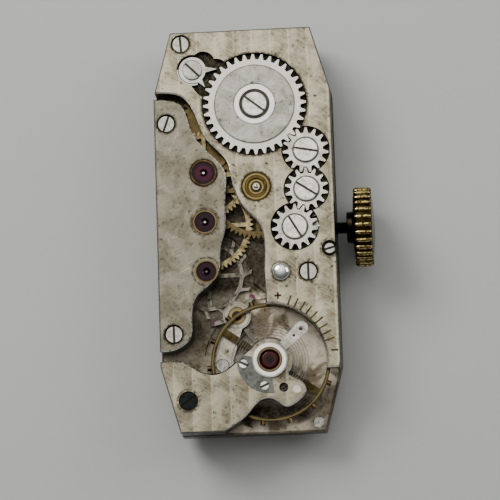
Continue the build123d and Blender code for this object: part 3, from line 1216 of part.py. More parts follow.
def make_crown():
    """Round crown with a fluted band, a hub and a slightly domed face."""
    shoulder = CROWN_RADIUS - CROWN_SHOULDER
    dome = Spline((CROWN_FACE_X, shoulder), ((CROWN_FACE_X + 2 * CROWN_DOME_X) / 3, CROWN_RADIUS / 2),
                  (CROWN_DOME_X, 0))
    rest = Polyline((CROWN_DOME_X, 0), (CROWN_HUB_X, 0), (CROWN_HUB_X, CROWN_HUB_RADIUS),
                    (CROWN_BAND_X - CROWN_SHOULDER, CROWN_HUB_RADIUS), (CROWN_BAND_X, shoulder),
                    (CROWN_FACE_X, shoulder))
    body = Pos(0, 0, STEM_Z) * revolve(make_face(Curve() + [dome, rest]), Axis.X)
    band = toothed(CROWN_FLUTES, shoulder - RUN_GAP, CROWN_RADIUS, 0, CROWN_ROOT_SHARE, CROWN_TIP_SHARE)
    crown = body + along_stem(band, CROWN_BAND_X + CROWN_SHOULDER, CROWN_FACE_X - CROWN_SHOULDER)
    return crown - rod(STEM_BODY_RADIUS, CROWN_HUB_X, CROWN_BORE_X)


# Keyless work
def make_keyless():
    """Setting lever on its screw, yoke on its post, and the bridge that covers them."""
    pin = (STEM_GROOVE_X, 0.0)
    head_high = BRIDGE_TOP - SCREW_SINK
    keep("setting_lever_screw", screw(DETENT, DETENT_HEAD_RADIUS, DETENT_HEAD_LOW, head_high,
                                      DETENT_SHANK_RADIUS, LEVER_LOW - SCREW_SINK, 15))
    tail = polar(LEVER_TAIL, LEVER_TAIL_TURN, *DETENT)
    face = Pos(*DETENT, 0) * Circle(LEVER_HUB_RADIUS) + bar(DETENT, pin, LEVER_ARM_WIDTH)
    face += bar(DETENT, tail, LEVER_ARM_WIDTH)
    lever = slab(face - Pos(*DETENT, 0) * Circle(DETENT_SHANK_RADIUS + PIVOT_GAP), LEVER_LOW, LEVER_HIGH)
    pin_top = STEM_Z - STEM_GROOVE_RADIUS - RUN_GAP
    keep("setting_lever", lever + disc(LEVER_PIN_RADIUS, LEVER_HIGH, pin_top, *pin))
    shaft = disc(POST_RADIUS, KEYLESS_CEILING, BRIDGE_TOP, *POST)
    foot = disc(POST_FOOT_RADIUS, SETTING_BRIDGE_HIGH, KEYLESS_CEILING, *POST)
    head = disc(DOME_RADIUS, BRIDGE_TOP, BRIDGE_TOP + DOME_RISE, *POST)
    head = fillet(head.edges().group_by(Axis.Z)[-1], DOME_RISE * 0.9)
    keep("yoke_post", shaft + foot + head)
    grip = (CLUTCH_GROOVE_X, 0.0)
    yoke = Pos(*POST, 0) * Circle(YOKE_HUB_RADIUS) + bar(POST, grip, YOKE_WIDTH)
    yoke -= Pos(*POST, 0) * Circle(POST_FOOT_RADIUS + PIVOT_GAP)
    grip_top = STEM_Z - CLUTCH_GROOVE_RADIUS - RUN_GAP
    keep("yoke", slab(yoke, LEVER_LOW, LEVER_HIGH) + disc(YOKE_PIN_RADIUS, LEVER_HIGH, grip_top, *grip))
    cover = Pos(*ISLAND, 0) * Circle(ISLAND_RADIUS) + bar(ISLAND, POST, 2 * YOKE_HUB_RADIUS)
    cover += bar(ISLAND, DETENT, 2 * LEVER_HUB_RADIUS)
    cover -= Pos(*ISLAND, 0) * Circle(SETTING_SCREW_RADIUS)
    keep("setting_bridge", slab(cover, SETTING_BRIDGE_LOW, SETTING_BRIDGE_HIGH))
    head = disc(SETTING_SCREW_HEAD_RADIUS, RUN_GAP, SETTING_BRIDGE_LOW, *ISLAND)
    shank = disc(SETTING_SCREW_RADIUS, SETTING_BRIDGE_LOW, SETTING_SCREW_TOP, *ISLAND)
    slot = Pos(*ISLAND, 0) * Box(2 * (SETTING_SCREW_HEAD_RADIUS + RUN_GAP), SLOT_WIDTH, SLOT_DEPTH)
    keep("setting_bridge_screw", head + shank - slot)


# Motion work
def make_motion_work():
    """Wheels under the dial that carry the hands, and the wheel that sets them."""
    bore = HAND_POST_RADIUS + PIVOT_GAP
    leaves = slab(gear(CANNON_TEETH, MOTION_MODULE, 0) - Circle(bore), MOTION_LOW, MOTION_HIGH)
    pipe = tube(CANNON_PIPE_RADIUS, bore, CANNON_SEAT_HIGH, MOTION_LOW)
    pipe += tube(CANNON_SEAT_RADIUS, bore, CANNON_PIPE_LOW, CANNON_SEAT_HIGH)
    keep("cannon_pinion", leaves + pipe)
    hour_bore = CANNON_PIPE_RADIUS + PIVOT_GAP
    hour = slab(fine_gear(HOUR_TEETH, HOUR_MODULE, HOUR_TURN) - Circle(hour_bore), HOUR_LOW, HOUR_HIGH)
    keep("hour_wheel", hour + tube(HOUR_PIPE_RADIUS, hour_bore, HOUR_PIPE_LOW, HOUR_LOW))
    work_bore = Circle(WORK_POST_RADIUS + PIVOT_GAP)
    minute = slab(gear(MINUTE_TEETH, MOTION_MODULE, MINUTE_TURN) - work_bore, MOTION_LOW, MOTION_HIGH)
    leaf = gear(MINUTE_PINION_LEAVES, HOUR_MODULE, 0) - work_bore
    minute += slab(leaf, WORK_POST_LOW, MOTION_LOW)
    keep("minute_wheel", Pos(*MINUTE, 0) * minute)
    setting = slab(gear(SETTING_TEETH, MOTION_MODULE, SETTING_WHEEL_TURN) - work_bore, MOTION_LOW, MOTION_HIGH)
    keep("setting_wheel", Pos(*SETTING, 0) * setting)


# Screws
def make_screws():
    """Flush screws of the bridges and of the cock, and the low screws under the balance."""
    high = BRIDGE_TOP - SCREW_SINK
    low = high - SCREW_HEAD_HEIGHT
    turns = (94, 90, 70, 91)
    heads = [screw(place, SCREW_HEAD_RADIUS, low, high, SCREW_SHANK_RADIUS, SCREW_LOW, turn)
             for place, turn in zip(BARREL_SCREWS + TRAIN_SCREWS, turns)]
    keep("bridge_screws", *heads)
    keep("cock_screw", screw(COCK_SCREW, COCK_SCREW_HEAD_RADIUS, low, high, SCREW_SHANK_RADIUS, SCREW_LOW, 36))
    small = [(PALLET_SCREW, PALLET_SCREW_HEAD_RADIUS, PALLET_BRIDGE_TOP, 80),
             (PLATE_SCREW, PLATE_SCREW_HEAD_RADIUS, PLATE_TOP, 35)]
    keep("low_screws", *[screw(place, radius, seat, seat + PALLET_SCREW_HEAD_HEIGHT,
                               PALLET_SCREW_SHANK_RADIUS, SCREW_LOW, turn)
                         for place, radius, seat, turn in small])


make_stem()
make_keyless()
make_motion_work()
make_screws()

for name, solid in parts.items():
    export_step(solid, f"parts/{name}.step")
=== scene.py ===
"""Looks of a small hand-wound watch movement: finishes, fine pieces, studio and camera."""
import logging
import math
from dataclasses import dataclass, replace
from enum import Enum
from functools import reduce
from typing import Any, Optional, Sequence

import bmesh
import bpy
from mathutils import Matrix, Vector


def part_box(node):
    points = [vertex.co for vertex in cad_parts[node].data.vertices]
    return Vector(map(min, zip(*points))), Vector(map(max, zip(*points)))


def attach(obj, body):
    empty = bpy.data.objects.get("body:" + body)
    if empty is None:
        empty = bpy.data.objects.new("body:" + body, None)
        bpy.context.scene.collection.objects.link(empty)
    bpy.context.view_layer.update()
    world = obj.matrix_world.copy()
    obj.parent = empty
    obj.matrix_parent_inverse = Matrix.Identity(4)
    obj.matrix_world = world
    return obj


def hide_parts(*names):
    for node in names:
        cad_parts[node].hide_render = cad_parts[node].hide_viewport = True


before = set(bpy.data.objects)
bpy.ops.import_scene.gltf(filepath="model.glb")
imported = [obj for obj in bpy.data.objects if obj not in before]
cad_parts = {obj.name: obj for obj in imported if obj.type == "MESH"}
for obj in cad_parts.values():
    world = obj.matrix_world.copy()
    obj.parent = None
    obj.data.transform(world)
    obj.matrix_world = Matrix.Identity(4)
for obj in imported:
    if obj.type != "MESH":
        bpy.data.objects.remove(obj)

LOG = logging.getLogger("movement")
MM = 0.001
Colour = tuple[float, float, float]
Place = tuple[float, float]
# Inner and outer radius, colour, share
Band = tuple[float, float, Colour, float]
# Place and radius of a ring of grime and painted shade
Well = tuple[float, float, float]
# Region of painted shade: lowest and highest x, lowest and highest y, top, share
Shadow = tuple[float, float, float, float, float, float]
# Place, radius, height of the middle plane, rise
DomeSize = tuple[Place, float, float, float]

# Upright axes and screws, in millimetres from the axis of the hands
HANDS: Place = (0.0, 0.0)
BARREL: Place = (0.90, 9.05)
CENTER: Place = (0.82, 2.95)
THIRD: Place = (-2.95, 4.12)
FOURTH: Place = (-2.95, 0.51)
ESCAPE: Place = (-2.95, -3.10)
PALLET: Place = (-0.97, -6.15)
BALANCE: Place = (1.38, -9.66)
UPPER: Place = (4.48, 5.49)
LOWER: Place = (4.44, 2.62)
CROWN_WHEEL: Place = (3.51, -0.10)
CLICK: Place = (-3.55, 11.79)
POST: Place = (2.40, -3.34)
DETENT: Place = (5.93, -1.78)
COCK_SCREW: Place = (-4.50, -12.36)
BARREL_BRIDGE_SCREWS: tuple[Place, ...] = ((-4.35, 13.76), (4.35, -3.40))
TRAIN_BRIDGE_SCREWS: tuple[Place, ...] = ((-5.56, 7.86), (-5.40, -7.56))
STEM_Z = 1.55

# Where the painted shade along the plate's outer edge begins and where it is full
EDGE_X = (6.28, 6.40)
EDGE_Y = (14.48, 14.60)
CORNER_SLOPE = 3.571
CORNER_EDGE = (32.34, 32.79)
WHOLE_PLATE = (-9.0, 9.0, -16.0, 16.0)
SHADOW_BLUR = 0.5
RIDGE_DEPTH = 0.022
# Direction in degrees and shift of each set of fine scratches
SCRATCHES: tuple[tuple[float, float], ...] = ((28.0, 3.7), (107.0, 9.1), (64.0, 17.3))

NICKEL: Colour = (0.49, 0.450, 0.338)
NICKEL_STAIN: Colour = (0.215, 0.185, 0.125)
STEEL: Colour = (0.58, 0.58, 0.55)
STEEL_STAIN: Colour = (0.33, 0.31, 0.25)
GILT: Colour = (0.37, 0.305, 0.165)
GILT_STAIN: Colour = (0.10, 0.070, 0.030)
# Painted highlight on polished bevels
BEVEL_HIGHLIGHT: Colour = (0.92, 0.90, 0.83)
DARK: Colour = (0.022, 0.018, 0.012)


def scaled(colour: Colour, share: float) -> Colour:
    """A colour times a share, with no part over 1."""
    return tuple(min(1.0, share * part) for part in colour)


def metres(place: Place, z: float) -> tuple[float, float, float]:
    """A place and a height in millimetres, as a point in metres."""
    return place[0] * MM, place[1] * MM, z * MM


def round_place(centre: Place, reach: float, degrees: float) -> Place:
    """The place at a distance and in a direction from a centre."""
    turn = math.radians(degrees)
    return centre[0] + reach * math.cos(turn), centre[1] + reach * math.sin(turn)


def added(name: str, data: Any) -> bpy.types.Object:
    """A new object of the scene that holds this data."""
    made = bpy.data.objects.new(name, data)
    bpy.context.scene.collection.objects.link(made)
    return made


class Field:
    """A value, vector or colour that varies over a surface, read from one node's output."""

    def __init__(self, graph: "Tree", socket: bpy.types.NodeSocket) -> None:
        """Keep the graph and the output socket.

        Args:
            graph: The graph that holds the node.
            socket: The output socket.
        """
        self.graph = graph
        self.socket = socket

    def _math(self, operation: str, *values: Any) -> "Field":
        """Add one Math node over these values."""
        return self.graph.node("ShaderNodeMath", {"operation": operation}, dict(enumerate(values)))

    def __add__(self, other: Any) -> "Field":
        """Sum."""
        return self._math("ADD", self, other)

    def __radd__(self, other: float) -> "Field":
        """Sum with a number first."""
        return self._math("ADD", other, self)

    def __sub__(self, other: Any) -> "Field":
        """Difference."""
        return self._math("SUBTRACT", self, other)

    def __rsub__(self, other: float) -> "Field":
        """Difference from a number."""
        return self._math("SUBTRACT", other, self)

    def __mul__(self, other: Any) -> "Field":
        """Product."""
        return self._math("MULTIPLY", self, other)

    def __rmul__(self, other: float) -> "Field":
        """Product with a number first."""
        return self._math("MULTIPLY", other, self)

    def __truediv__(self, other: Any) -> "Field":
        """Quotient."""
        return self._math("DIVIDE", self, other)

    def __pow__(self, other: Any) -> "Field":
        """Power."""
        return self._math("POWER", self, other)

    def absolute(self) -> "Field":
        """Value without its sign."""
        return self._math("ABSOLUTE", self)

    def fraction(self) -> "Field":
        """Part of the value after the point."""
        return self._math("FRACT", self)

    def sine(self) -> "Field":
        """Sine of the value in radians."""
        return self._math("SINE", self)

    def cosine(self) -> "Field":
        """Cosine of the value in radians."""
        return self._math("COSINE", self)

    def lowest(self, other: Any) -> "Field":
        """Smaller of two values."""
        return self._math("MINIMUM", self, other)

    def highest(self, other: Any) -> "Field":
        """Larger of two values."""
        return self._math("MAXIMUM", self, other)

    def clamp(self) -> "Field":
        """Value kept between 0 and 1."""
        return self.highest(0.0).lowest(1.0)

    def smooth(self, low: float, high: float) -> "Field":
        """Soft step that runs from 0 at low to 1 at high.

        Args:
            low: Value where the result is 0.
            high: Value where the result is 1.

        Returns:
            The stepped value.
        """
        if low > high:
            return 1.0 - self.smooth(high, low)
        return self.graph.node("ShaderNodeMapRange", {"interpolation_type": "SMOOTHSTEP"},
                               {"Value": self, "From Min": low, "From Max": high})


class Tree:
    """Nodes made by expressions, for a material or for a shape."""

    def __init__(self, tree: bpy.types.NodeTree) -> None:
        """Keep the node tree to fill."""
        self.tree = tree

    def node(self, kind: str, settings: Optional[dict[str, Any]] = None,
             values: Optional[dict[Any, Any]] = None, output: Any = 0) -> Field:
        """Add a node, set it up and link it.

        Args:
            kind: The node's type.
            settings: The node's own settings, set first; "stops" fills a ramp.
            values: A number, a colour or a Field for each input socket.
            output: The output socket to return, or None for a node without one.

        Returns:
            The chosen output.
        """
        made = self.tree.nodes.new(kind)
        for name, value in (settings or {}).items():
            if name == "stops":
                ramp = made.color_ramp
                while len(ramp.elements) < len(value):
                    ramp.elements.new(0.5)
                for element, (position, colour) in zip(ramp.elements, value):
                    element.position = position
                    element.color = (*colour, 1.0)
            else:
                setattr(made, name, value)
        for name, value in (values or {}).items():
            socket = made.inputs[name]
            if isinstance(value, Field):
                self.tree.links.new(value.socket, socket)
            elif isinstance(value, tuple) and len(value) == 3 and socket.type == "RGBA":
                socket.default_value = (*value, 1.0)
            else:
                socket.default_value = value
        return Field(self, made.outputs[output] if output is not None else None)

    def split(self, vector: Field) -> tuple[Field, Field, Field]:
        """The three parts of a vector."""
        node = self.node("ShaderNodeSeparateXYZ", values={0: vector}).socket.node
        return tuple(Field(self, node.outputs[index]) for index in range(3))

    def join(self, x: Any, y: Any, z: Any) -> Field:
        """A vector of three values."""
        return self.node("ShaderNodeCombineXYZ", values={0: x, 1: y, 2: z})

    def ramp(self, value: Field, *stops: tuple[float, Colour]) -> Field:
        """Colour read from a ramp with these stops."""
        return self.node("ShaderNodeValToRGB", {"stops": stops}, {"Fac": value})

    def mix(self, factor: Any, first: Any, second: Any) -> Field:
        """Blend of two colours.

        Args:
            factor: Share of the second colour.
            first: Colour at factor 0.
            second: Colour at factor 1.

        Returns:
            The blended colour.
        """
        return self.node("ShaderNodeMix", {"data_type": "RGBA", "clamp_factor": True},
                         {0: factor, 6: first, 7: second}, output=2)


class Graph(Tree):
    """The nodes of one material, which read the place on the piece in millimetres."""

    def __init__(self, name: str) -> None:
        """Start the material and read the place and the way the surface faces.

        Args:
            name: Name of the material.
        """
        self.made = bpy.data.materials.new(name)
        self.made.use_nodes = True
        super().__init__(self.made.node_tree)
        self.tree.nodes.clear()
        coordinates = self.node("ShaderNodeTexCoord", output="Object")
        self.place = self.node("ShaderNodeVectorMath", {"operation": "MULTIPLY"},
                               {0: coordinates, 1: (1 / MM,) * 3})
        self.x, self.y, self.z = self.split(self.place)
        self.normal_z = self.split(Field(self, coordinates.socket.node.outputs["Normal"]))[2]
        self.colour: Any = (0.0, 0.0, 0.0)

    def paint(self, share: Any, tint: Any) -> None:
        """Lay a colour over the colour so far.

        Args:
            share: Share of the new colour.
            tint: The new colour.
        """
        self.colour = self.mix(share, self.colour, tint)

    def surface(self, **values: Any) -> bpy.types.Material:
        """End the material in a shader with the colour so far.

        Args:
            **values: Values of the shader's other sockets, with _ for each space.

        Returns:
            The material.
        """
        sockets = {name.replace("_", " "): value for name, value in values.items()}
        shader = self.node("ShaderNodeBsdfPrincipled", values={"Base Color": self.colour, **sockets})
        self.node("ShaderNodeOutputMaterial", values={"Surface": shader}, output=None)
        return self.made

    def noise(self, where: Field, scale: float, detail: float = 2.0, rough: float = 0.5,
              distortion: float = 0.0) -> Field:
        """Cloudy noise between 0 and 1.

        Args:
            where: Coordinates in millimetres.
            scale: Clouds to the millimetre.
            detail: Number of finer layers.
            rough: Weight of the finer layers.
            distortion: How far the clouds are stirred.

        Returns:
            The noise value.
        """
        return self.node("ShaderNodeTexNoise", {"noise_dimensions": "3D"},
                         {"Vector": where, "Scale": scale, "Detail": detail, "Roughness": rough,
                          "Distortion": distortion})

    def specks(self, scale: float, size: float) -> Field:
        """Small round spots, 1 inside a spot.

        Args:
            scale: Cells to the millimetre.
            size: Radius of a spot as a share of its cell.

        Returns:
            The spot mask.
        """
        distance = self.node("ShaderNodeTexVoronoi", {"feature": "F1"},
                             {"Vector": self.place, "Scale": scale, "Randomness": 1.0})
        return distance.smooth(size, size * 0.35)

    def radius(self, centre: Place) -> Field:
        """Distance in millimetres from an upright axis."""
        across = self.x - centre[0]
        along = self.y - centre[1]
        return (across * across + along * along) ** 0.5

    def nearest(self, centres: Sequence[Place]) -> Field:
        """Distance in millimetres from the nearest of several upright axes."""
        return reduce(Field.lowest, [self.radius(centre) for centre in centres])

    def angle(self, centre: Place) -> Field:
        """Angle round an upright axis, in radians."""
        return self.node("ShaderNodeMath", {"operation": "ARCTAN2"},
                         {0: self.y - centre[1], 1: self.x - centre[0]})

    def scratches(self, degrees: float, shift: float) -> Field:
        """Fine straight scratches in one direction, 1 in a scratch.

        Args:
            degrees: Direction of the scratches.
            shift: Moves the pattern, so that no two calls agree.

        Returns:
            The scratch mask.
        """
        cosine, sine = math.cos(math.radians(degrees)), math.sin(math.radians(degrees))
        along = self.x * cosine + self.y * sine + shift
        across = self.y * cosine - self.x * sine
        bent = self.join(along * 0.55, across * 21.0, self.z)
        return self.noise(bent, 1.0, 1.0).smooth(0.70, 0.78)

    def bump(self, height: Field, depth: float, normal: Optional[Field] = None) -> Field:
        """Normal bent by a height.

        Args:
            height: Height pattern between 0 and 1.
            depth: Real depth of the pattern in millimetres.
            normal: A normal that is bent already.

        Returns:
            The bent normal.
        """
        values = {"Strength": 1.0, "Distance": depth * MM, "Height": height}
        if normal is not None:
            values["Normal"] = normal
        return self.node("ShaderNodeBump", values=values)


class Coat(Graph):
    """The nodes of a metal surface, with the noises and the roughness that its layers share."""

    def __init__(self, name: str, scale: float, roughness: float) -> None:
        """Start the surface.

        Args:
            name: Name of the material.
            scale: Large clouds to the millimetre.
            roughness: Middle of the roughness.
        """
        super().__init__(name)
        self.clouds = self.noise(self.place, scale, 4.0, 0.62, 0.5)
        self.fine = self.noise(self.place, 4.5, 3.0, 0.62)
        self.level = self.normal_z.smooth(0.9, 0.97)
        self.rough = (self.clouds - 0.5) * 0.35 + (self.fine - 0.5) * 0.25 + roughness


class Grain(Enum):
    """How the surface of a metal piece is worked."""

    FROSTED = "frosted"
    STRIPED = "striped"
    CIRCULAR = "circular"
    SUNRAY = "sunray"
    STRAIGHT = "straight"
    POLISHED = "polished"


@dataclass(frozen=True)
class Metal:
    """A metal finish with its grain, its stains and its wear, and the highlights and shade painted on it.

    Colours are linear shares, lengths are millimetres.
    """

    tone: Colour
    stain: Colour
    grain: Grain = Grain.POLISHED
    roughness: float = 0.25
    stain_share: float = 0.35
    stain_scale: float = 0.6
    speck_share: float = 0.0
    grain_depth: float = 0.0015
    wave_depth: float = 0.012
    pitch: float = 1.34
    shift: float = 0.0
    centres: tuple[Place, ...] = (HANDS,)
    scratch_share: float = 0.5
    bands: tuple[Band, ...] = ()
    shade: tuple[Shadow, ...] = ()
    slot_top: Optional[float] = None
    # Colour of the painted highlight on the polished bevels
    bevel_highlight: Optional[Colour] = None
    floor: Optional[tuple[float, Colour]] = None
    wells: tuple[Well, ...] = ()
    wall_patina_and_shade: float = 0.75

    @property
    def light(self) -> Colour:
        """Tone of the cleanest and most worn places, also the painted highlight on the stripes."""
        return scaled(self.tone, 1.30)

    def lay_tone(self, coat: Coat) -> Field:
        """Lay the tone, its stains and its scratches.

        Args:
            coat: The surface.

        Returns:
            The scratch mask.
        """
        clouds = coat.clouds
        stains = clouds.smooth(0.44, 0.64) * self.stain_share + coat.fine.smooth(0.50, 0.66) * (
            self.stain_share * 0.6)
        coat.colour = coat.mix(stains.clamp(), self.tone, self.stain)
        coat.paint(clouds.smooth(0.47, 0.33) * 0.55, self.light)
        worn = reduce(Field.highest, [coat.scratches(*way) for way in SCRATCHES]) * self.scratch_share
        coat.paint(worn * clouds.smooth(0.55, 0.45), self.light)
        coat.paint(worn * clouds.smooth(0.50, 0.60) * 0.7, scaled(self.stain, 0.4))
        coat.rough -= worn * 0.10
        return worn

    def grain_height(self, coat: Coat) -> Field:
        """Height pattern of the worked surface."""
        if self.grain in (Grain.CIRCULAR, Grain.SUNRAY):
            radius, turn = coat.nearest(self.centres), coat.angle(self.centres[0])
            close, long = (22.0, 1.4) if self.grain is Grain.CIRCULAR else (1.2, 30.0)
            return coat.noise(coat.join(radius * close, turn * long, coat.z), 1.0, 2.0)
        if self.grain is Grain.STRAIGHT:
            return coat.noise(coat.join(coat.x * 3.0, coat.y * 26.0, coat.z * 3.0), 1.0, 2.0)
        if self.grain is Grain.POLISHED:
            return coat.noise(coat.place, 3.0, 2.0)
        return coat.noise(coat.place, 13.0, 3.0, 0.65)

    def lay_stripes(self, coat: Coat, height: Field) -> tuple[Field, Field]:
        """Lay parallel wavy stripes along the plate, with painted shade across each stripe and a painted
        highlight at its edge.

        Args:
            coat: The surface.
            height: Its height pattern so far.

        Returns:
            Height of the ridges, and the height pattern with the fine lines in them.
        """
        sway = coat.noise(coat.place, 0.22, 1.0) * 0.10
        across = ((coat.x + self.shift + sway) / self.pitch).fraction()
        arcs = coat.join(coat.x * 0.9, coat.y * 13.0 + across * across * 9.0, coat.z)
        arcs = coat.noise(arcs, 1.0, 3.0, 0.6)
        shade = across.smooth(0.05, 0.85) * across.smooth(1.0, 0.93)
        # Painted shade across each stripe, in the stain colour
        coat.paint(shade * coat.level * (coat.clouds.smooth(0.35, 0.65) * 0.45 + 0.42), self.stain)
        # Painted highlight along one edge of each stripe
        coat.paint(across.smooth(0.07, 0.0) * coat.level * 0.5, self.light)
        coat.paint(arcs.smooth(0.50, 0.62) * coat.level * 0.30, self.light)
        coat.rough += shade * 0.08
        ridge = (across - 0.5) * (across - 0.5) * 4.0
        return ridge * coat.level, height * 0.45 + arcs * 0.55

    def lay_stains_and_well_shade(self, coat: Coat) -> None:
        """Lay the spots, and the grime and painted shade round the wells."""
        dark = scaled(self.stain, 0.22)
        if self.speck_share:
            spots = coat.specks(1.2, 0.25) * coat.fine.smooth(0.49, 0.56)
            small = coat.specks(3.1, 0.30) * coat.clouds.smooth(0.46, 0.55)
            coat.paint(spots.highest(small * 0.8) * self.speck_share, dark)
        # Rings of grime and painted shade round each well
        for x, y, reach in self.wells:
            ring = (coat.radius((x, y)) - reach).absolute().smooth(0.16, 0.0)
            coat.paint(ring * coat.fine.smooth(0.30, 0.55) * coat.level * 0.85, dark)

    def lay_shadows(self, coat: Coat) -> None:
        """Tint the deep floor, and paint shade on what lies under the bridges."""
        if self.floor is not None:
            depth, tint = self.floor
            sunk = coat.z.smooth(depth + 0.06, depth - 0.02) * coat.level
            coat.paint(sunk * coat.clouds.smooth(0.62, 0.45) * 0.9, tint)
            coat.rough += sunk * 0.10
        # Painted shade over each listed region, below its top
        for low_x, high_x, low_y, high_y, top, share in self.shade:
            region = coat.y.smooth(low_y - SHADOW_BLUR, low_y + SHADOW_BLUR)
            region *= coat.y.smooth(high_y + SHADOW_BLUR, high_y - SHADOW_BLUR)
            region *= coat.x.smooth(low_x - SHADOW_BLUR, low_x + SHADOW_BLUR)
            region *= coat.x.smooth(high_x + SHADOW_BLUR, high_x - SHADOW_BLUR)
            region *= coat.z.smooth(top + 0.03, top - 0.01)
            coat.paint(region * share * (coat.fine * 0.5 + 0.75), scaled(self.stain, 0.10))

    def lay_edges(self, coat: Coat) -> None:
        """Lay the painted highlight on the bevels, painted shade on the outer edge and in the slots, the
        rings, and the darkened walls.
        """
        # Painted highlight on the polished bevels, which are also made less rough
        if self.bevel_highlight is not None:
            bevel = coat.normal_z.smooth(0.35, 0.6) * (1.0 - coat.level)
            coat.paint(bevel * coat.fine.smooth(0.35, 0.55) * 0.9, self.bevel_highlight)
            coat.rough -= bevel * 0.14
        # Painted shade along the outer edge of the plate and the bridges
        x, y = coat.x.absolute(), coat.y.absolute()
        edge = x.smooth(*EDGE_X).highest(y.smooth(*EDGE_Y))
        edge = edge.highest((x * CORNER_SLOPE + y).smooth(*CORNER_EDGE))
        coat.paint(edge * (coat.fine * 0.5 + 0.55), scaled(self.stain, 0.12))
        for inner, outer, tint, share in self.bands:
            radius = coat.nearest(self.centres)
            ring = radius.smooth(inner - 0.03, inner + 0.01) * radius.smooth(outer + 0.03, outer - 0.01)
            coat.paint(ring * share, tint)
        # Upright walls darkened: partly patina, partly painted shade
        wall = 1.0 - coat.normal_z.absolute().smooth(0.15, 0.45)
        coat.paint(wall * (0.70 + coat.clouds * 0.5), scaled(self.stain, self.wall_patina_and_shade))
        # Painted shade in the screw slots
        if self.slot_top is not None:
            sunk = coat.z.smooth(self.slot_top, self.slot_top - 0.03)
            coat.paint(sunk * 0.95, DARK)
            coat.rough += sunk * 0.3

    def material(self, name: str) -> bpy.types.Material:
        """Build the finish as a material.

        Args:
            name: Name of the material.

        Returns:
            The material.
        """
        coat = Coat(name, self.stain_scale, self.roughness)
        worn = self.lay_tone(coat)
        height = self.grain_height(coat) + worn * 0.9
        normal = coat.bump(coat.noise(coat.place, 0.8, 1.0), self.wave_depth)
        if self.grain is Grain.STRIPED:
            ridge, height = self.lay_stripes(coat, height)
            normal = coat.bump(ridge, RIDGE_DEPTH, normal)
        self.lay_stains_and_well_shade(coat)
        self.lay_shadows(coat)
        self.lay_edges(coat)
        return coat.surface(Roughness=coat.rough.clamp(), Metallic=1.0,
                            Normal=coat.bump(height, self.grain_depth, normal))


@dataclass(frozen=True)
class Ruby:
    """Polished ruby with rings of colour round each hole."""

    deep: Colour = (0.006, 0.0006, 0.003)
    bright: Colour = (0.070, 0.005, 0.030)
    centres: tuple[Place, ...] = ()
    reach: float = 0.66
    transmission: float = 0.12
    shine: float = 0.04
    painted_shade_below: float = -99.0

    def material(self, name: str) -> bpy.types.Material:
        """Build the stone as a material.

        Args:
            name: Name of the material.

        Returns:
            The material.
        """
        graph = Graph(name)
        clouds = graph.noise(graph.place, 3.5, 3.0, 0.6)
        graph.colour = graph.mix(clouds.smooth(0.3, 0.7), self.deep, self.bright)
        if self.centres:
            black = scaled(self.deep, 0.12)
            rings = graph.ramp(graph.nearest(self.centres) / self.reach, (0.0, black), (0.24, black),
                               (0.36, self.deep), (0.52, self.bright), (0.78, self.bright), (1.0, self.deep))
            graph.colour = graph.mix(0.25, rings, graph.colour)
            # Painted shade on the stones that lie lower on the plate than this y
            graph.paint(graph.y.smooth(self.painted_shade_below + 0.8, self.painted_shade_below - 0.8) * 0.72, black)
        return graph.surface(Roughness=clouds * 0.05 + 0.04, Normal=graph.bump(clouds, 0.0015), Metallic=0.0,
                             IOR=1.76, Specular_IOR_Level=self.shine, Transmission_Weight=self.transmission)


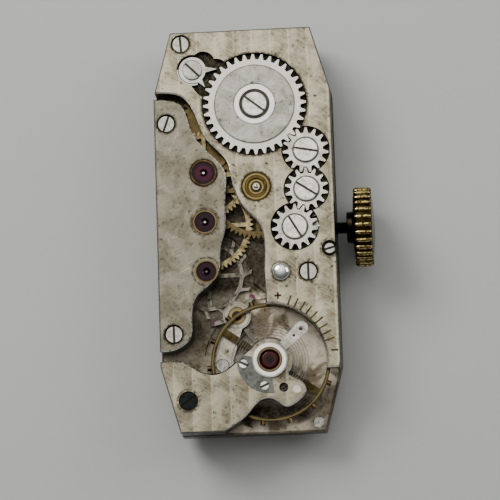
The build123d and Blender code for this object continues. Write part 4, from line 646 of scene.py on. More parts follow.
class Shape(Tree):
    """A geometry node tree with named inputs, baked to a plain mesh."""

    def __init__(self, name: str, **sizes: Any) -> None:
        """Start the tree and give it one named input for each size.

        Args:
            name: Name of the tree.
            **sizes: Each input's value: a whole number, a number or a vector.
        """
        super().__init__(bpy.data.node_groups.new(name, "GeometryNodeTree"))
        self.sizes = sizes
        self.keys: dict[str, str] = {}
        kinds = {int: "NodeSocketInt", float: "NodeSocketFloat", tuple: "NodeSocketVector"}
        self.tree.interface.new_socket("Geometry", in_out="INPUT", socket_type="NodeSocketGeometry")
        self.tree.interface.new_socket("Geometry", in_out="OUTPUT", socket_type="NodeSocketGeometry")
        for key, value in sizes.items():
            made = self.tree.interface.new_socket(key, in_out="INPUT", socket_type=kinds[type(value)])
            self.keys[key] = made.identifier
        self.source = self.tree.nodes.new("NodeGroupInput")

    def size(self, key: str) -> Field:
        """The tree's input of this name."""
        return Field(self, self.source.outputs[key])

    def solid(self, kind: str, settings: Optional[dict[str, Any]] = None, **values: Any) -> Field:
        """A basic form round the origin.

        Args:
            kind: Last part of the node's type, such as Cube.
            settings: The node's own settings.
            **values: Values of its sockets.

        Returns:
            The form.
        """
        return self.node(f"GeometryNodeMesh{kind}", settings, values, output="Mesh")

    def moved(self, geometry: Field, by: Any = (0.0, 0.0, 0.0), turn: Any = (0.0, 0.0, 0.0),
              scale: Any = (1.0, 1.0, 1.0)) -> Field:
        """Geometry moved, turned and scaled."""
        return self.node("GeometryNodeTransform", values={"Geometry": geometry, "Translation": by,
                                                          "Rotation": turn, "Scale": scale})

    def joined(self, *parts: Field) -> Field:
        """Several geometries as one."""
        made = self.node("GeometryNodeJoinGeometry")
        for part in reversed(parts):
            self.tree.links.new(part.socket, made.socket.node.inputs[0])
        return made

    def ring(self, piece: Field, first: float, step: float, round_x: bool = False) -> Field:
        """Copies of a piece at even steps, from the inputs count and orbit.

        Args:
            piece: The piece as it stands at turn 0, but at the origin.
            first: Turn of the first copy in degrees.
            step: Turn from one copy to the next in degrees.
            round_x: Whether the copies stand round X, not round Z.

        Returns:
            The copies, round the origin.
        """
        turn = self.node("GeometryNodeInputIndex") * math.radians(step) + math.radians(first)
        orbit = self.size("orbit")
        across, along = orbit * turn.cosine(), orbit * turn.sine()
        spot = self.join(0.0, across, along) if round_x else self.join(across, along, 0.0)
        way = self.join(turn, 0.0, 0.0) if round_x else self.join(0.0, 0.0, turn)
        points = self.node("GeometryNodePoints", values={"Count": self.size("count")})
        points = self.node("GeometryNodeSetPosition", values={"Geometry": points, "Position": spot})
        return self.node("GeometryNodeInstanceOnPoints",
                         values={"Points": points, "Instance": piece, "Rotation": way})

    def bake(self, name: str, geometry: Field, finish: bpy.types.Material,
             base: Optional[bpy.types.Mesh] = None, smooth: bool = False) -> bpy.types.Object:
        """End the tree, evaluate it once and keep the result as a plain mesh.

        Args:
            name: Name of the piece.
            geometry: The shape that the tree makes.
            finish: Material of the piece.
            base: Mesh that the tree starts from, if it uses one.
            smooth: Whether the faces are shaded smooth.

        Returns:
            The finished piece, at the origin.
        """
        real = self.node("GeometryNodeRealizeInstances", values={0: geometry})
        shaded = self.node("GeometryNodeSetShadeSmooth", values={"Geometry": real, "Shade Smooth": smooth})
        painted = self.node("GeometryNodeSetMaterial", values={"Geometry": shaded, "Material": finish})
        self.node("NodeGroupOutput", values={0: painted}, output=None)
        holder = added(f"{name}_maker", base or bpy.data.meshes.new(f"{name}_base"))
        modifier = holder.modifiers.new("shape", "NODES")
        modifier.node_group = self.tree
        for key, value in self.sizes.items():
            modifier[self.keys[key]] = value
        evaluated = holder.evaluated_get(bpy.context.evaluated_depsgraph_get())
        mesh = bpy.data.meshes.new_from_object(evaluated)
        mesh.name = name
        holder.modifiers.remove(modifier)
        bpy.data.objects.remove(holder)
        LOG.info("%s: %d faces", name, len(mesh.polygons))
        return added(name, mesh)


def turned_mesh(name: str, profile: Sequence[tuple[float, float]], sides: int) -> bpy.types.Mesh:
    """Closed round body on the stem axis, from a profile of (x, radius) pairs.

    Args:
        name: Name of the mesh.
        profile: Pairs in millimetres, from the axis and back to it.
        sides: Sides of the round.

    Returns:
        The mesh.
    """
    shell = bmesh.new()
    rings: list[list[bmesh.types.BMVert]] = []
    for x, radius in profile:
        count = 1 if radius == 0 else sides
        rings.append([shell.verts.new((x * MM, radius * MM * math.cos(2 * math.pi * k / sides),
                                       (STEM_Z + radius * math.sin(2 * math.pi * k / sides)) * MM))
                      for k in range(count)])
    for first, second in zip(rings, rings[1:]):
        for k in range(sides):
            corners = [first[k % len(first)], first[(k + 1) % len(first)],
                       second[(k + 1) % len(second)], second[k % len(second)]]
            shell.faces.new(list(dict.fromkeys(corners)))
    bmesh.ops.recalc_face_normals(shell, faces=shell.faces)
    mesh = bpy.data.meshes.new(name)
    shell.to_mesh(mesh)
    shell.free()
    return mesh


@dataclass
class Hairspring:
    """Flat spring of the balance: a thin strip in close even turns."""

    turns: int = 12
    outer: float = 2.86
    inner: float = 0.47
    low: float = 2.64
    high: float = 2.78
    thickness: float = 0.034
    end_turn: float = -44.0
    finish: Metal = Metal((0.12, 0.12, 0.125), (0.07, 0.066, 0.058), Grain.POLISHED, 0.24, 0.3, 1.5)

    def build(self) -> bpy.types.Object:
        """Wind the strip and put it in place of the plain spring.

        Returns:
            The spring.
        """
        shape = Shape("hairspring_shape", turns=self.turns, outer=self.outer * MM, inner=self.inner * MM,
                      thickness=self.thickness * MM, height=(self.high - self.low) * MM,
                      place=metres(BALANCE, (self.low + self.high) / 2))
        line = shape.node("GeometryNodeCurveSpiral",
                          values={"Resolution": 72, "Rotations": shape.size("turns"),
                                  "Start Radius": shape.size("inner"), "End Radius": shape.size("outer"),
                                  "Height": 0.0, "Reverse": True})
        line = shape.node("GeometryNodeSetCurveNormal", {"mode": "Z_UP"}, {"Curve": line})
        strip = shape.node("GeometryNodeCurvePrimitiveQuadrilateral", {"mode": "RECTANGLE"},
                           {"Width": shape.size("thickness"), "Height": shape.size("height")})
        wound = shape.node("GeometryNodeCurveToMesh",
                           values={"Curve": line, "Profile Curve": strip, "Fill Caps": True})
        wound = shape.moved(wound, turn=(0.0, 0.0, math.radians(self.end_turn)))
        wound = shape.moved(wound, by=shape.size("place"))
        piece = shape.bake("hairspring_strip", wound, self.finish.material("spring_steel"), smooth=False)
        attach(piece, "frame")
        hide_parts("hairspring")
        return piece


@dataclass
class RimScrews:
    """Slotted timing screws round the rim of the balance."""

    count: int = 14
    first_turn: float = 145.0 + 180.0 / 14
    rim: float = 4.27
    head_radius: float = 0.19
    head_length: float = 0.31
    slot_width: float = 0.05
    slot_depth: float = 0.07
    middle_z: float = 2.25
    finish: Metal = Metal((0.17, 0.115, 0.05), (0.05, 0.03, 0.015), Grain.POLISHED, 0.26, 0.8, 2.0)

    def build(self) -> bpy.types.Object:
        """Set the screws round the rim.

        Returns:
            The screws.
        """
        shape = Shape("rim_screws_shape", count=self.count, orbit=self.rim * MM, radius=self.head_radius * MM,
                      length=self.head_length * MM, slot_width=self.slot_width * MM,
                      slot_depth=self.slot_depth * MM, place=metres(BALANCE, self.middle_z))
        radius, length = shape.size("radius"), shape.size("length")
        head = shape.solid("Cylinder", {"fill_type": "NGON"}, Vertices=20, Radius=radius, Depth=length)
        slot = shape.solid("Cube", Size=shape.join(radius * 2.4, shape.size("slot_width"),
                                                   shape.size("slot_depth") * 2.0))
        slot = shape.moved(slot, by=shape.join(0.0, 0.0, length * 0.5))
        cut = shape.node("GeometryNodeMeshBoolean", {"operation": "DIFFERENCE", "solver": "EXACT"},
                         {0: head, 1: slot})
        lying = shape.moved(cut, turn=(0.0, math.pi / 2, 0.0))
        lying = shape.moved(lying, by=shape.join(length * 0.5, 0.0, 0.0))
        heads = shape.moved(shape.ring(lying, self.first_turn, 360.0 / self.count), by=shape.size("place"))
        piece = shape.bake("timing_screws", heads, self.finish.material("timing_screw_gold"))
        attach(piece, "balance")
        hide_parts("balance_rim_screws")
        return piece


@dataclass
class Crown:
    """Winding crown: a turned body with rounded ribs round its band."""

    ribs: int = 30
    rib_radius: float = 0.185
    rib_orbit: float = 2.695
    band_start: float = 7.74
    band_end: float = 9.06
    taper: float = 2.3
    profile: tuple[tuple[float, float], ...] = (
        (8.20, 0.0), (8.20, 0.44), (7.20, 0.44), (7.20, 1.05), (7.24, 1.13), (7.30, 1.15), (7.56, 1.15),
        (7.62, 1.19), (7.66, 1.30), (7.70, 2.15), (7.75, 2.36), (7.84, 2.51), (7.98, 2.61), (8.18, 2.67),
        (8.40, 2.69), (8.62, 2.67), (8.80, 2.61), (8.92, 2.53), (9.00, 2.43), (9.04, 2.34), (9.05, 2.24),
        (9.10, 1.95), (9.15, 1.50), (9.19, 0.95), (9.215, 0.40), (9.22, 0.0))
    gold: Colour = (0.085, 0.056, 0.014)
    dull: Colour = (0.035, 0.022, 0.006)
    crest_wear_and_highlight: Colour = (0.62, 0.48, 0.19)
    groove_grime_and_shade: Colour = (0.012, 0.008, 0.003)
    shadow: Colour = (0.006, 0.005, 0.003)

    def finish(self) -> bpy.types.Material:
        """Dark gold, with grime and painted shade between the ribs, crests bright from wear and a painted
        highlight, and painted shadow on the inner side.

        Returns:
            The material.
        """
        graph = Graph("crown_gold")
        across, up = graph.y, graph.z - STEM_Z
        radius = (across * across + up * up) ** 0.5
        clouds = graph.noise(graph.place, 0.9, 4.0, 0.6)
        fine = graph.noise(graph.place, 6.0, 3.0, 0.65)
        # Outer crests: wear and painted highlight
        worn = radius.smooth(2.70, 2.86)
        # Grooves between the ribs: grime and painted shade
        groove_dirt_and_shade = radius.smooth(2.80, 2.66) * radius.smooth(2.3, 2.6) * (fine * 0.6 + 0.55)
        graph.colour = graph.mix(clouds.smooth(0.35, 0.7) * 0.7, self.gold, self.dull)
        graph.paint(worn * fine.smooth(0.42, 0.56), self.crest_wear_and_highlight)
        graph.paint(groove_dirt_and_shade.clamp(), self.groove_grime_and_shade)
        # Painted shadow on the inner side of the crown
        graph.paint(graph.x.smooth(7.95, 7.75) * 0.97, self.shadow)
        rough = fine * 0.18 + 0.16 + groove_dirt_and_shade * 0.25 - worn * 0.08
        return graph.surface(Roughness=rough.clamp(), Metallic=1.0, Normal=graph.bump(fine, 0.006))

    def build(self) -> bpy.types.Object:
        """Turn the body and set the ribs round it.

        Returns:
            The crown.
        """
        reach = self.rib_radius * self.taper
        start, end = self.band_start + reach, self.band_end - reach
        shape = Shape("crown_shape", count=self.ribs, rib_radius=self.rib_radius * MM,
                      orbit=self.rib_orbit * MM, length=(end - start) * MM,
                      place=metres(((start + end) / 2, 0.0), STEM_Z))
        radius, length = shape.size("rib_radius"), shape.size("length")
        bar = shape.solid("Cylinder", {"fill_type": "NONE"}, Vertices=12, Radius=radius, Depth=length)
        ball = shape.solid("UVSphere", Segments=12, Rings=8, Radius=radius)
        ball = shape.moved(ball, scale=(1.0, 1.0, self.taper))
        rib = shape.joined(bar, *(shape.moved(ball, by=shape.join(0.0, 0.0, length * share))
                                  for share in (0.5, -0.5)))
        rib = shape.moved(rib, turn=(0.0, math.pi / 2, 0.0))
        ribs = shape.moved(shape.ring(rib, 0.0, 360.0 / self.ribs, round_x=True), by=shape.size("place"))
        both = shape.joined(shape.size("Geometry"), ribs)
        body = turned_mesh("crown_body", self.profile, 96)
        piece = shape.bake("fluted_crown", both, self.finish(), body, smooth=True)
        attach(piece, "stem")
        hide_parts("crown")
        return piece


@dataclass
class RegulatorScale:
    """Short filled lines on the barrel bridge, which the regulator's tip points at."""

    count: int = 9
    first_turn: float = 70.0
    last_turn: float = 17.0
    inner: float = 4.14
    outer: float = 4.86
    width: float = 0.115
    top: float = 3.603
    depth: float = 0.006
    sign_size: float = 0.50
    sign_inset: float = 0.20
    plus_turn: float = 81.0
    minus_turn: float = 6.5
    finish: Metal = Metal((0.085, 0.062, 0.022), (0.02, 0.014, 0.006), Grain.FROSTED, 0.40, 0.8, 3.0)

    def build(self) -> bpy.types.Object:
        """Lay the lines and the two signs at their ends.

        Returns:
            The scale.
        """
        shape = Shape("scale_shape", count=self.count, orbit=(self.inner + self.outer) / 2 * MM,
                      length=(self.outer - self.inner) * MM, width=self.width * MM, depth=self.depth * MM,
                      place=metres(BALANCE, self.top - self.depth / 2))
        line = shape.solid("Cube", Size=shape.join(*map(shape.size, ("length", "width", "depth"))))
        lines = shape.ring(line, self.first_turn, (self.last_turn - self.first_turn) / (self.count - 1))
        stroke = shape.solid("Cube", Size=metres((self.sign_size, self.width * 1.3), self.depth))
        signs = []
        for degrees, strokes in ((self.plus_turn, (0.0, 90.0)), (self.minus_turn, (0.0,))):
            spot = metres(round_place(HANDS, self.outer - self.sign_inset, degrees), 0.0)
            signs += [shape.moved(stroke, by=spot, turn=(0.0, 0.0, math.radians(extra)))
                      for extra in strokes]
        everything = shape.moved(shape.joined(lines, *signs), by=shape.size("place"))
        piece = shape.bake("regulator_scale", everything, self.finish.material("filled_line"))
        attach(piece, "frame")
        return piece


@dataclass
class Dressing:
    """Gives every solid of the frame its finish."""

    jewel_axes: tuple[Place, ...] = (THIRD, FOURTH, ESCAPE)
    screw_recess: float = 0.72
    slot_depth: float = 0.10
    barrel_tone: Colour = (0.10, 0.075, 0.032)
    center_tone: Colour = (0.13, 0.10, 0.050)
    winding_tone: Colour = (0.64, 0.635, 0.58)

    def plates(self) -> dict[str, Metal]:
        """Finishes of the plate and the bridges.

        Returns:
            Finishes by solid name.
        """
        # Wells and screws ringed with grime and painted shade
        wells = ((*BARREL, 3.86), (*UPPER, 1.50), (*LOWER, 1.50), (*CROWN_WHEEL, 1.68), (*CENTER, 1.12),
                 (*POST, 0.70), (*DETENT, 0.66), (*CLICK, 1.05), (*BALANCE, 4.12),
                 *((*screw, self.screw_recess) for screw in BARREL_BRIDGE_SCREWS))
        train_wells = (*((*axis, 1.0) for axis in self.jewel_axes),
                       *((*screw, self.screw_recess) for screw in TRAIN_BRIDGE_SCREWS))
        # Painted shade on everything below the bridge's top
        shade_under_bridge_top = ((*WHOLE_PLATE, 3.20, 0.95),)
        # Painted shade on the barrel bridge below its top
        striped = Metal(NICKEL, (0.175, 0.150, 0.098), Grain.STRIPED, 0.30, 0.70, 0.55, 0.9, 0.0050,
                        shift=0.45, bevel_highlight=BEVEL_HIGHLIGHT, wells=wells, shade=((*WHOLE_PLATE, 3.30, 0.97),))
        plain = Metal((0.240, 0.223, 0.172), (0.128, 0.112, 0.076), Grain.FROSTED, 0.34, 0.62, 0.75, 0.75,
                      0.0060, bevel_highlight=BEVEL_HIGHLIGHT, wells=train_wells, shade=shade_under_bridge_top)
        cock = Metal((0.43, 0.395, 0.295), (0.155, 0.132, 0.085), Grain.STRIPED, 0.31, 0.65, 0.55, 0.85,
                     0.0050, shift=0.10, bevel_highlight=BEVEL_HIGHLIGHT, wells=((*COCK_SCREW, 0.78),), shade=shade_under_bridge_top,
                     wall_patina_and_shade=0.35)
        plate = Metal((0.40, 0.36, 0.285), (0.20, 0.155, 0.095), Grain.FROSTED, 0.38, 0.8, 0.5, 0.9,
                      0.0060, wall_patina_and_shade=0.16, bevel_highlight=(0.60, 0.56, 0.46), floor=(1.2, (0.80, 0.70, 0.55)),
                      # Painted shade: lower right corner, a crescent inside the balance rim, the plate
                      # between the bridges and round the pallets
                      shade=((3.9, 9.0, -16.0, -11.2, 1.53, 0.62), (-1.2, 4.2, -13.9, -12.4, 1.53, 0.93),
                             (-9.0, 9.0, -4.4, 16.0, 1.53, 0.90), (-9.0, -0.2, -8.0, -3.4, 1.53, 0.72),
                             (-9.0, -1.6, -11.5, -6.0, 1.53, 0.55)))
        low = Metal((0.44, 0.41, 0.335), NICKEL_STAIN, Grain.FROSTED, 0.32, 0.8, 0.8, 0.8, 0.005,
                    bevel_highlight=BEVEL_HIGHLIGHT)
        pallet = replace(low, centres=(PALLET,),
                         bands=((0.0, 0.16, (0.10, 0.008, 0.03), 0.95),
                                (0.16, 0.36, (0.02, 0.004, 0.01), 0.95),
                                (0.38, 0.56, (0.26, 0.19, 0.07), 0.9), (0.57, 0.64, DARK, 0.8),
                                (0.88, 0.93, DARK, 0.5)))
        return {"main_plate": plate, "barrel_bridge": striped, "train_bridge": plain,
                "balance_cock": cock, "pallet_bridge": pallet, "setting_bridge": low}

    def steel(self, axis: Place, grain: Grain = Grain.CIRCULAR, tone: Colour = STEEL,
              bands: tuple[Band, ...] = ()) -> Metal:
        """Steel with its grain round an axis.

        Args:
            axis: Place of the axis.
            grain: How the steel is worked.
            tone: Colour of the steel.
            bands: Rings of another colour round the axis.

        Returns:
            The finish.
        """
        return Metal(tone, STEEL_STAIN, grain, 0.21, 0.5, 1.1, 0.6, 0.0018, centres=(axis,), bands=bands,
                     bevel_highlight=BEVEL_HIGHLIGHT)

    def gilt(self, axis: Place, tone: Colour) -> Metal:
        """Gilt brass with its grain round an axis."""
        return Metal(tone, GILT_STAIN, Grain.CIRCULAR, 0.25, 0.7, 1.0, 0.6, 0.0018, centres=(axis,))

    def screws(self, node: str, tone: Colour, stain: Colour = STEEL_STAIN) -> Metal:
        """Polished screw heads with dark slots.

        Args:
            node: Name of the solid that holds the screws.
            tone: Colour of the steel.
            stain: Colour of its stains.

        Returns:
            The finish.
        """
        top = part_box(node)[1].z / MM
        return Metal(tone, stain, Grain.STRAIGHT, 0.16, 0.4, 2.2, 0.5, 0.0012, 0.016,
                     slot_top=round(top - self.slot_depth * 0.55, 4), bevel_highlight=BEVEL_HIGHLIGHT)

    def wheels(self) -> dict[str, Metal]:
        """Finishes of the wheels, pinions and winding parts.

        Returns:
            Finishes by solid name.
        """
        ratchet = Metal((0.41, 0.405, 0.365), (0.25, 0.235, 0.185), Grain.SUNRAY, 0.22, 0.6, 1.1, 0.85,
                        0.0022, centres=(BARREL,), bevel_highlight=BEVEL_HIGHLIGHT,
                        # The bright bands are painted highlights on the polished ring and the teeth
                        bands=((0.0, 1.10, DARK, 0.92), (1.14, 1.46, (0.95, 0.95, 0.92), 0.9),
                               (1.49, 1.53, DARK, 0.6), (2.86, 2.93, DARK, 0.55),
                               (2.97, 4.2, (0.78, 0.775, 0.725), 0.7)))
        plan = {"ratchet_wheel": ratchet, "click": self.steel(CLICK, Grain.STRAIGHT)}
        hub = ((0.0, 0.97, DARK, 0.85),)
        for node, axis in (("upper_winding_wheel", UPPER), ("lower_winding_wheel", LOWER),
                           ("crown_wheel", CROWN_WHEEL)):
            plan[node] = self.steel(axis, tone=self.winding_tone, bands=hub)
        for node, axis in (("center_pinion", CENTER), ("third_pinion", THIRD), ("fourth_pinion", FOURTH),
                           ("cannon_pinion", HANDS), ("setting_wheel", HANDS)):
            plan[node] = self.steel(axis)
        for node, axis, tone in (("barrel_drum", BARREL, self.barrel_tone),
                                 ("barrel_cover", BARREL, self.barrel_tone),
                                 ("center_wheel", CENTER, self.center_tone), ("third_wheel", THIRD, GILT),
                                 ("fourth_wheel", FOURTH, GILT), ("hour_wheel", HANDS, GILT),
                                 ("minute_wheel", HANDS, GILT)):
            plan[node] = self.gilt(axis, tone)
        return plan

    def screw_heads(self) -> dict[str, Metal]:
        """Finishes of the screws.

        Returns:
            Finishes by solid name.
        """
        worn, bright = (0.50, 0.495, 0.455), (0.80, 0.795, 0.75)
        plan = {node: self.screws(node, worn, (0.20, 0.19, 0.15))
                for node in ("bridge_screws", "click_screw", "setting_lever_screw")}
        plan |= {node: self.screws(node, bright)
                 for node in ("winding_wheel_screws", "ratchet_screw", "cap_plate_screws")}
        plan["cock_screw"] = self.screws("cock_screw", (0.014, 0.017, 0.019), (0.008, 0.007, 0.006))
        plan["low_screws"] = Metal((0.34, 0.34, 0.32), (0.10, 0.095, 0.08), Grain.STRAIGHT, 0.18, 0.5,
                                   2.0, 0.5, 0.0012, bevel_highlight=BEVEL_HIGHLIGHT)
        return plan

    def small_parts(self) -> dict[str, Any]:
        """Finishes of jewels, balance, escapement and keyless work.

        Returns:
            Finishes by solid name.
        """
        steel = Metal(STEEL, STEEL_STAIN, Grain.POLISHED, 0.20, 0.45, 1.2, 0.4, 0.0012, bevel_highlight=BEVEL_HIGHLIGHT)
        # Escapement steel darkened as painted shade
        shaded = Metal((0.20, 0.19, 0.155), (0.05, 0.042, 0.028), Grain.POLISHED, 0.26, 0.8, 1.4, 0.6,
                       0.0012, bevel_highlight=(0.42, 0.40, 0.33))
        # Nearly black stem: oxide and painted shade
        stem = Metal((0.010, 0.009, 0.007), (0.005, 0.004, 0.003), Grain.CIRCULAR, 0.35, 0.6, 1.5)
        grey = Metal((0.150, 0.155, 0.147), (0.070, 0.068, 0.060), Grain.STRAIGHT, 0.27, 0.6, 1.2, 0.5,
                     0.0015, bevel_highlight=(0.34, 0.34, 0.32))
        rim = Metal((0.058, 0.044, 0.018), (0.020, 0.015, 0.006), Grain.CIRCULAR, 0.27, 0.7, 1.0, 0.4,
                    # The thin bright band is a painted highlight on the rim's edge
                    0.0015, centres=(BALANCE,), bands=((4.12, 4.19, (0.21, 0.175, 0.090), 0.6),))
        settings = Metal((0.115, 0.078, 0.035), (0.030, 0.018, 0.008), Grain.CIRCULAR, 0.20, 0.7, 2.0, 0.2,
                         0.0040, centres=(*self.jewel_axes, BALANCE),
                         bands=((0.66, 0.72, (0.02, 0.012, 0.006), 0.9),
                                (0.76, 0.82, (0.21, 0.155, 0.085), 0.8),
                                (0.93, 1.10, (0.012, 0.008, 0.004), 0.8)))
        bush = Metal((0.125, 0.090, 0.030), (0.035, 0.023, 0.008), Grain.CIRCULAR, 0.22, 0.7, 1.6, 0.5,
                     0.0050, centres=(CENTER,),
                     bands=((0.20, 0.42, (0.03, 0.02, 0.008), 0.9), (0.43, 0.52, (0.30, 0.23, 0.09), 0.8),
                            (0.54, 0.66, (0.05, 0.034, 0.012), 0.7), (0.76, 0.81, (0.03, 0.02, 0.008), 0.8),
                            (0.84, 0.93, (0.26, 0.20, 0.085), 0.8),
                            (1.00, 1.20, (0.012, 0.008, 0.004), 0.8)))
        regulator = Metal((0.52, 0.515, 0.475), (0.22, 0.21, 0.17), Grain.CIRCULAR, 0.17, 0.6, 1.2, 0.5,
                          0.0015, centres=(BALANCE,),
                          bands=((0.0, 0.90, (0.085, 0.058, 0.030), 0.95),
                                 # The near-white band is a painted highlight on the polished ring
                                 (0.93, 1.15, (0.97, 0.96, 0.90), 0.8),
                                 (1.24, 1.36, (0.10, 0.09, 0.07), 0.6)))
        stones = Ruby(centres=self.jewel_axes, painted_shade_below=2.3)
        return {
            **dict.fromkeys(("escape_pinion", "escape_wheel", "pallet_fork", "pallet_staff"), shaded),
            **dict.fromkeys(("setting_bridge_screw", "hairspring_stud", "click_spring", "mainspring",
                             "barrel_arbor", "balance_staff", "roller", "winding_pinion",
                             "sliding_clutch", "setting_lever", "yoke", "yoke_post"), steel),
            "winding_stem": stem, "cap_plate": grey, "hairspring": grey, "crown": bush,
            "jewel_settings": settings, "center_bush": bush, "balance_wheel": rim,
            "balance_rim_screws": rim, "regulator": regulator, "hole_jewels": stones,
            "plate_jewels": stones,
            "balance_cap_jewel": Ruby((0.014, 0.002, 0.003), (0.050, 0.005, 0.009), (BALANCE,), 0.70),
            "pallet_stones": Ruby((0.12, 0.014, 0.055), (0.26, 0.075, 0.14), (), 1.0, 0.2)}

    def dress(self) -> None:
        """Put each solid's finish in its material slots."""
        plan = {**self.plates(), **self.wheels(), **self.screw_heads(), **self.small_parts()}
        made: dict[Any, bpy.types.Material] = {}
        for name, finish in plan.items():
            if finish not in made:
                made[finish] = finish.material(f"finish_{name}")
            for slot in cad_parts[name].material_slots:
                slot.material = made[finish]
        bare = sorted(set(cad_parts) - set(plan))
        LOG.info("dressed %d solids, without a finish: %s", len(plan), bare)


@dataclass
class PivotDomes:
    """Domes over the post of the yoke and the centre pivot, and the pins of the regulator."""

    post: DomeSize = (POST, 0.675, 3.60, 0.37)
    pivot: DomeSize = (CENTER, 0.20, 3.54, 0.13)
    pins: tuple[tuple[float, float], ...] = ((3.13, 0.185), (2.42, 0.125))
    pin_sink: float = 0.03
    pin_rise: float = 0.06
    tongue_turn: float = 43.0
    finish: Metal = Metal((0.86, 0.86, 0.84), (0.6, 0.59, 0.55), Grain.POLISHED, 0.06, 0.15, 1.5, 0.0,
                          0.0003, 0.0, scratch_share=0.1)

    def dome(self, name: str, size: DomeSize, finish: bpy.types.Material) -> bpy.types.Object:
        """Shape one dome.

        Args:
            name: Name of the piece.
            size: Its place, its radius, the height of its middle plane and its rise.
            finish: Its material.

        Returns:
            The dome.
        """
        place, radius, low, rise = size
        shape = Shape(f"{name}_shape", radius=radius * MM, rise=rise / radius, place=metres(place, low))
        ball = shape.solid("UVSphere", Segments=40, Rings=24, Radius=shape.size("radius"))
        ball = shape.moved(ball, by=shape.size("place"), scale=shape.join(1.0, 1.0, shape.size("rise")))
        return shape.bake(name, ball, finish, smooth=True)

    def build(self) -> bpy.types.Object:
        """Set the domes and the pins.

        Returns:
            The dome of the post.
        """
        post = self.dome("post_dome", self.post, self.finish.material("polished_dome"))
        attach(post, "frame")
        gold = replace(self.finish, tone=(0.42, 0.34, 0.20), roughness=0.16)
        pivot = self.dome("center_pivot_dome", self.pivot, gold.material("pivot_dome"))
        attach(pivot, "center")
        dark = replace(self.finish, tone=(0.045, 0.042, 0.036), roughness=0.30).material("pin_metal")
        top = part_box("regulator")[1].z / MM
        for index, (reach, radius) in enumerate(self.pins):
            place = round_place(BALANCE, reach, self.tongue_turn)
            pin = self.dome(f"regulator_pin_{index + 1}", (place, radius, top - self.pin_sink, self.pin_rise),
                            dark)
            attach(pin, "regulator")
        return post


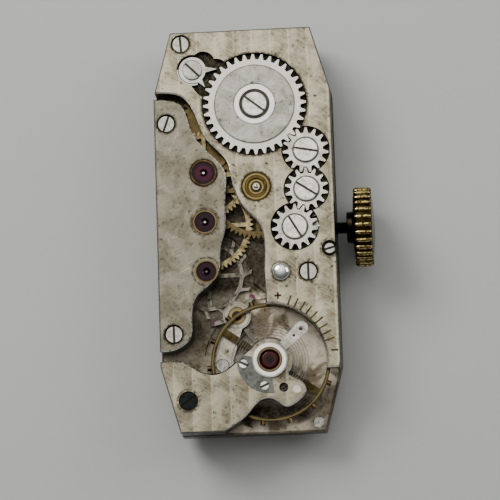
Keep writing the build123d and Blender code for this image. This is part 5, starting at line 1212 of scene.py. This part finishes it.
@dataclass
class Studio:
    """Pale floor, soft lights and the camera of the photograph."""

    floor_z: float = -1.37
    floor_size: float = 900.0
    floor_tone: Colour = (0.48, 0.49, 0.48)
    wall_tone: Colour = (0.42, 0.425, 0.42)
    low_tone: Colour = (0.40, 0.40, 0.395)
    bright_side: tuple[float, float, float] = (-0.10, 0.47, 0.876)
    sky: tuple[tuple[float, Colour], ...] = (
        (0.0, (0.09, 0.09, 0.09)), (0.40, (0.13, 0.13, 0.13)), (0.62, (0.22, 0.22, 0.22)),
        (0.84, (0.62, 0.62, 0.60)), (0.93, (1.40, 1.37, 1.29)), (1.0, (1.90, 1.87, 1.75)))
    tilt_x: float = 3.35
    tilt_y: float = 10.35
    roll: float = -1.93
    distance: float = 170.1
    focal_pixels: float = 2320.8
    middle: Place = (249.24, 235.91)
    image: float = 500.0
    sensor: float = 36.0

    def build_floor(self) -> None:
        """Lay the floor with a faint texture."""
        half = self.floor_size / 2
        mesh = bpy.data.meshes.new("floor")
        corners = ((-half, -half), (half, -half), (half, half), (-half, half))
        mesh.from_pydata([metres(corner, self.floor_z) for corner in corners], [], [(0, 1, 2, 3)])
        graph = Graph("floor_card")
        clouds = graph.noise(graph.place, 0.012, 3.0)
        graph.colour = graph.mix(clouds.smooth(0.3, 0.7), self.floor_tone, scaled(self.floor_tone, 0.94))
        grain = graph.bump(graph.noise(graph.place, 2.0), 0.01)
        mesh.materials.append(graph.surface(Roughness=0.85, Normal=grain))
        floor = added("floor", mesh)

    def lamp(self, name: str, place: tuple[float, float, float], size: tuple[float, float],
             power: float, tone: Colour) -> None:
        """Hang a soft rectangular light that points at the movement.

        Args:
            name: Name of the light.
            place: Where it hangs, in millimetres.
            size: Its two sides, in millimetres.
            power: Its power in watts.
            tone: Its colour.
        """
        data = bpy.data.lights.new(name, "AREA")
        data.shape = "RECTANGLE"
        data.size, data.size_y = size[0] * MM, size[1] * MM
        data.energy = power
        data.color = tone
        lamp = added(name, data)
        lamp.location = Vector(place) * MM
        lamp.rotation_mode = "QUATERNION"
        lamp.rotation_quaternion = (-Vector(place)).to_track_quat("-Z", "Y")

    def build_lights(self) -> None:
        """Set the surrounding light and hang the lamps."""
        world = bpy.data.worlds.new("studio")
        bpy.context.scene.world = world
        world.use_nodes = True
        world.node_tree.nodes.clear()
        around = Tree(world.node_tree)
        way = around.node("ShaderNodeTexCoord", output="Generated")
        height = around.node("ShaderNodeVectorMath", {"operation": "DOT_PRODUCT"},
                             {0: way, 1: self.bright_side}, output="Value")
        low = around.split(way)[2].smooth(0.46, 0.14)
        light = around.mix(low * 0.85, around.ramp(height, *self.sky), self.low_tone)
        seen = around.node("ShaderNodeLightPath", output="Is Camera Ray")
        shown = around.node("ShaderNodeBackground", values={"Color": around.mix(seen, light, self.wall_tone)})
        around.node("ShaderNodeOutputWorld", values={"Surface": shown}, output=None)
        self.lamp("key", (-105.0, 120.0, 150.0), (110.0, 90.0), 0.37, (1.0, 0.99, 0.97))
        self.lamp("fill", (150.0, 60.0, 120.0), (120.0, 90.0), 0.10, (0.97, 0.985, 1.0))

    def build_camera(self) -> None:
        """Place the camera where the photograph was taken from."""
        back = Vector((math.tan(math.radians(self.tilt_x)), -math.tan(math.radians(self.tilt_y)), 1.0))
        back.normalize()
        up = Vector((0.0, 1.0, 0.0))
        up = (up - back * up.dot(back)).normalized()
        right = up.cross(back)
        turn = math.radians(self.roll)
        across = right * math.cos(turn) + up * math.sin(turn)
        upward = up * math.cos(turn) - right * math.sin(turn)
        data = bpy.data.cameras.new("camera")
        data.sensor_width = self.sensor
        data.lens = self.focal_pixels / self.image * self.sensor
        data.shift_x = (self.image / 2 - self.middle[0]) / self.image
        data.shift_y = (self.middle[1] - self.image / 2) / self.image
        data.clip_start, data.clip_end = 0.005, 5.0
        camera = added("camera", data)
        turned = Matrix((across, upward, back)).transposed().to_4x4()
        camera.matrix_world = Matrix.Translation(back * self.distance * MM) @ turned
        bpy.context.scene.camera = camera

    def build(self) -> None:
        """Build floor, lights and camera."""
        self.build_floor()
        self.build_lights()
        self.build_camera()
        LOG.info("studio built")


def main() -> None:
    """Build the studio, the fine pieces and the finishes."""
    logging.basicConfig(level=logging.INFO, format="%(name)s: %(message)s")
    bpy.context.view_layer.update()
    Studio().build()
    Dressing().dress()
    for assembly in (Hairspring(), RimScrews(), Crown(), RegulatorScale(), PivotDomes()):
        piece = assembly.build()
        LOG.info("%s built", piece.name)
    bpy.context.view_layer.update()


if __name__ == "__main__":
    main()
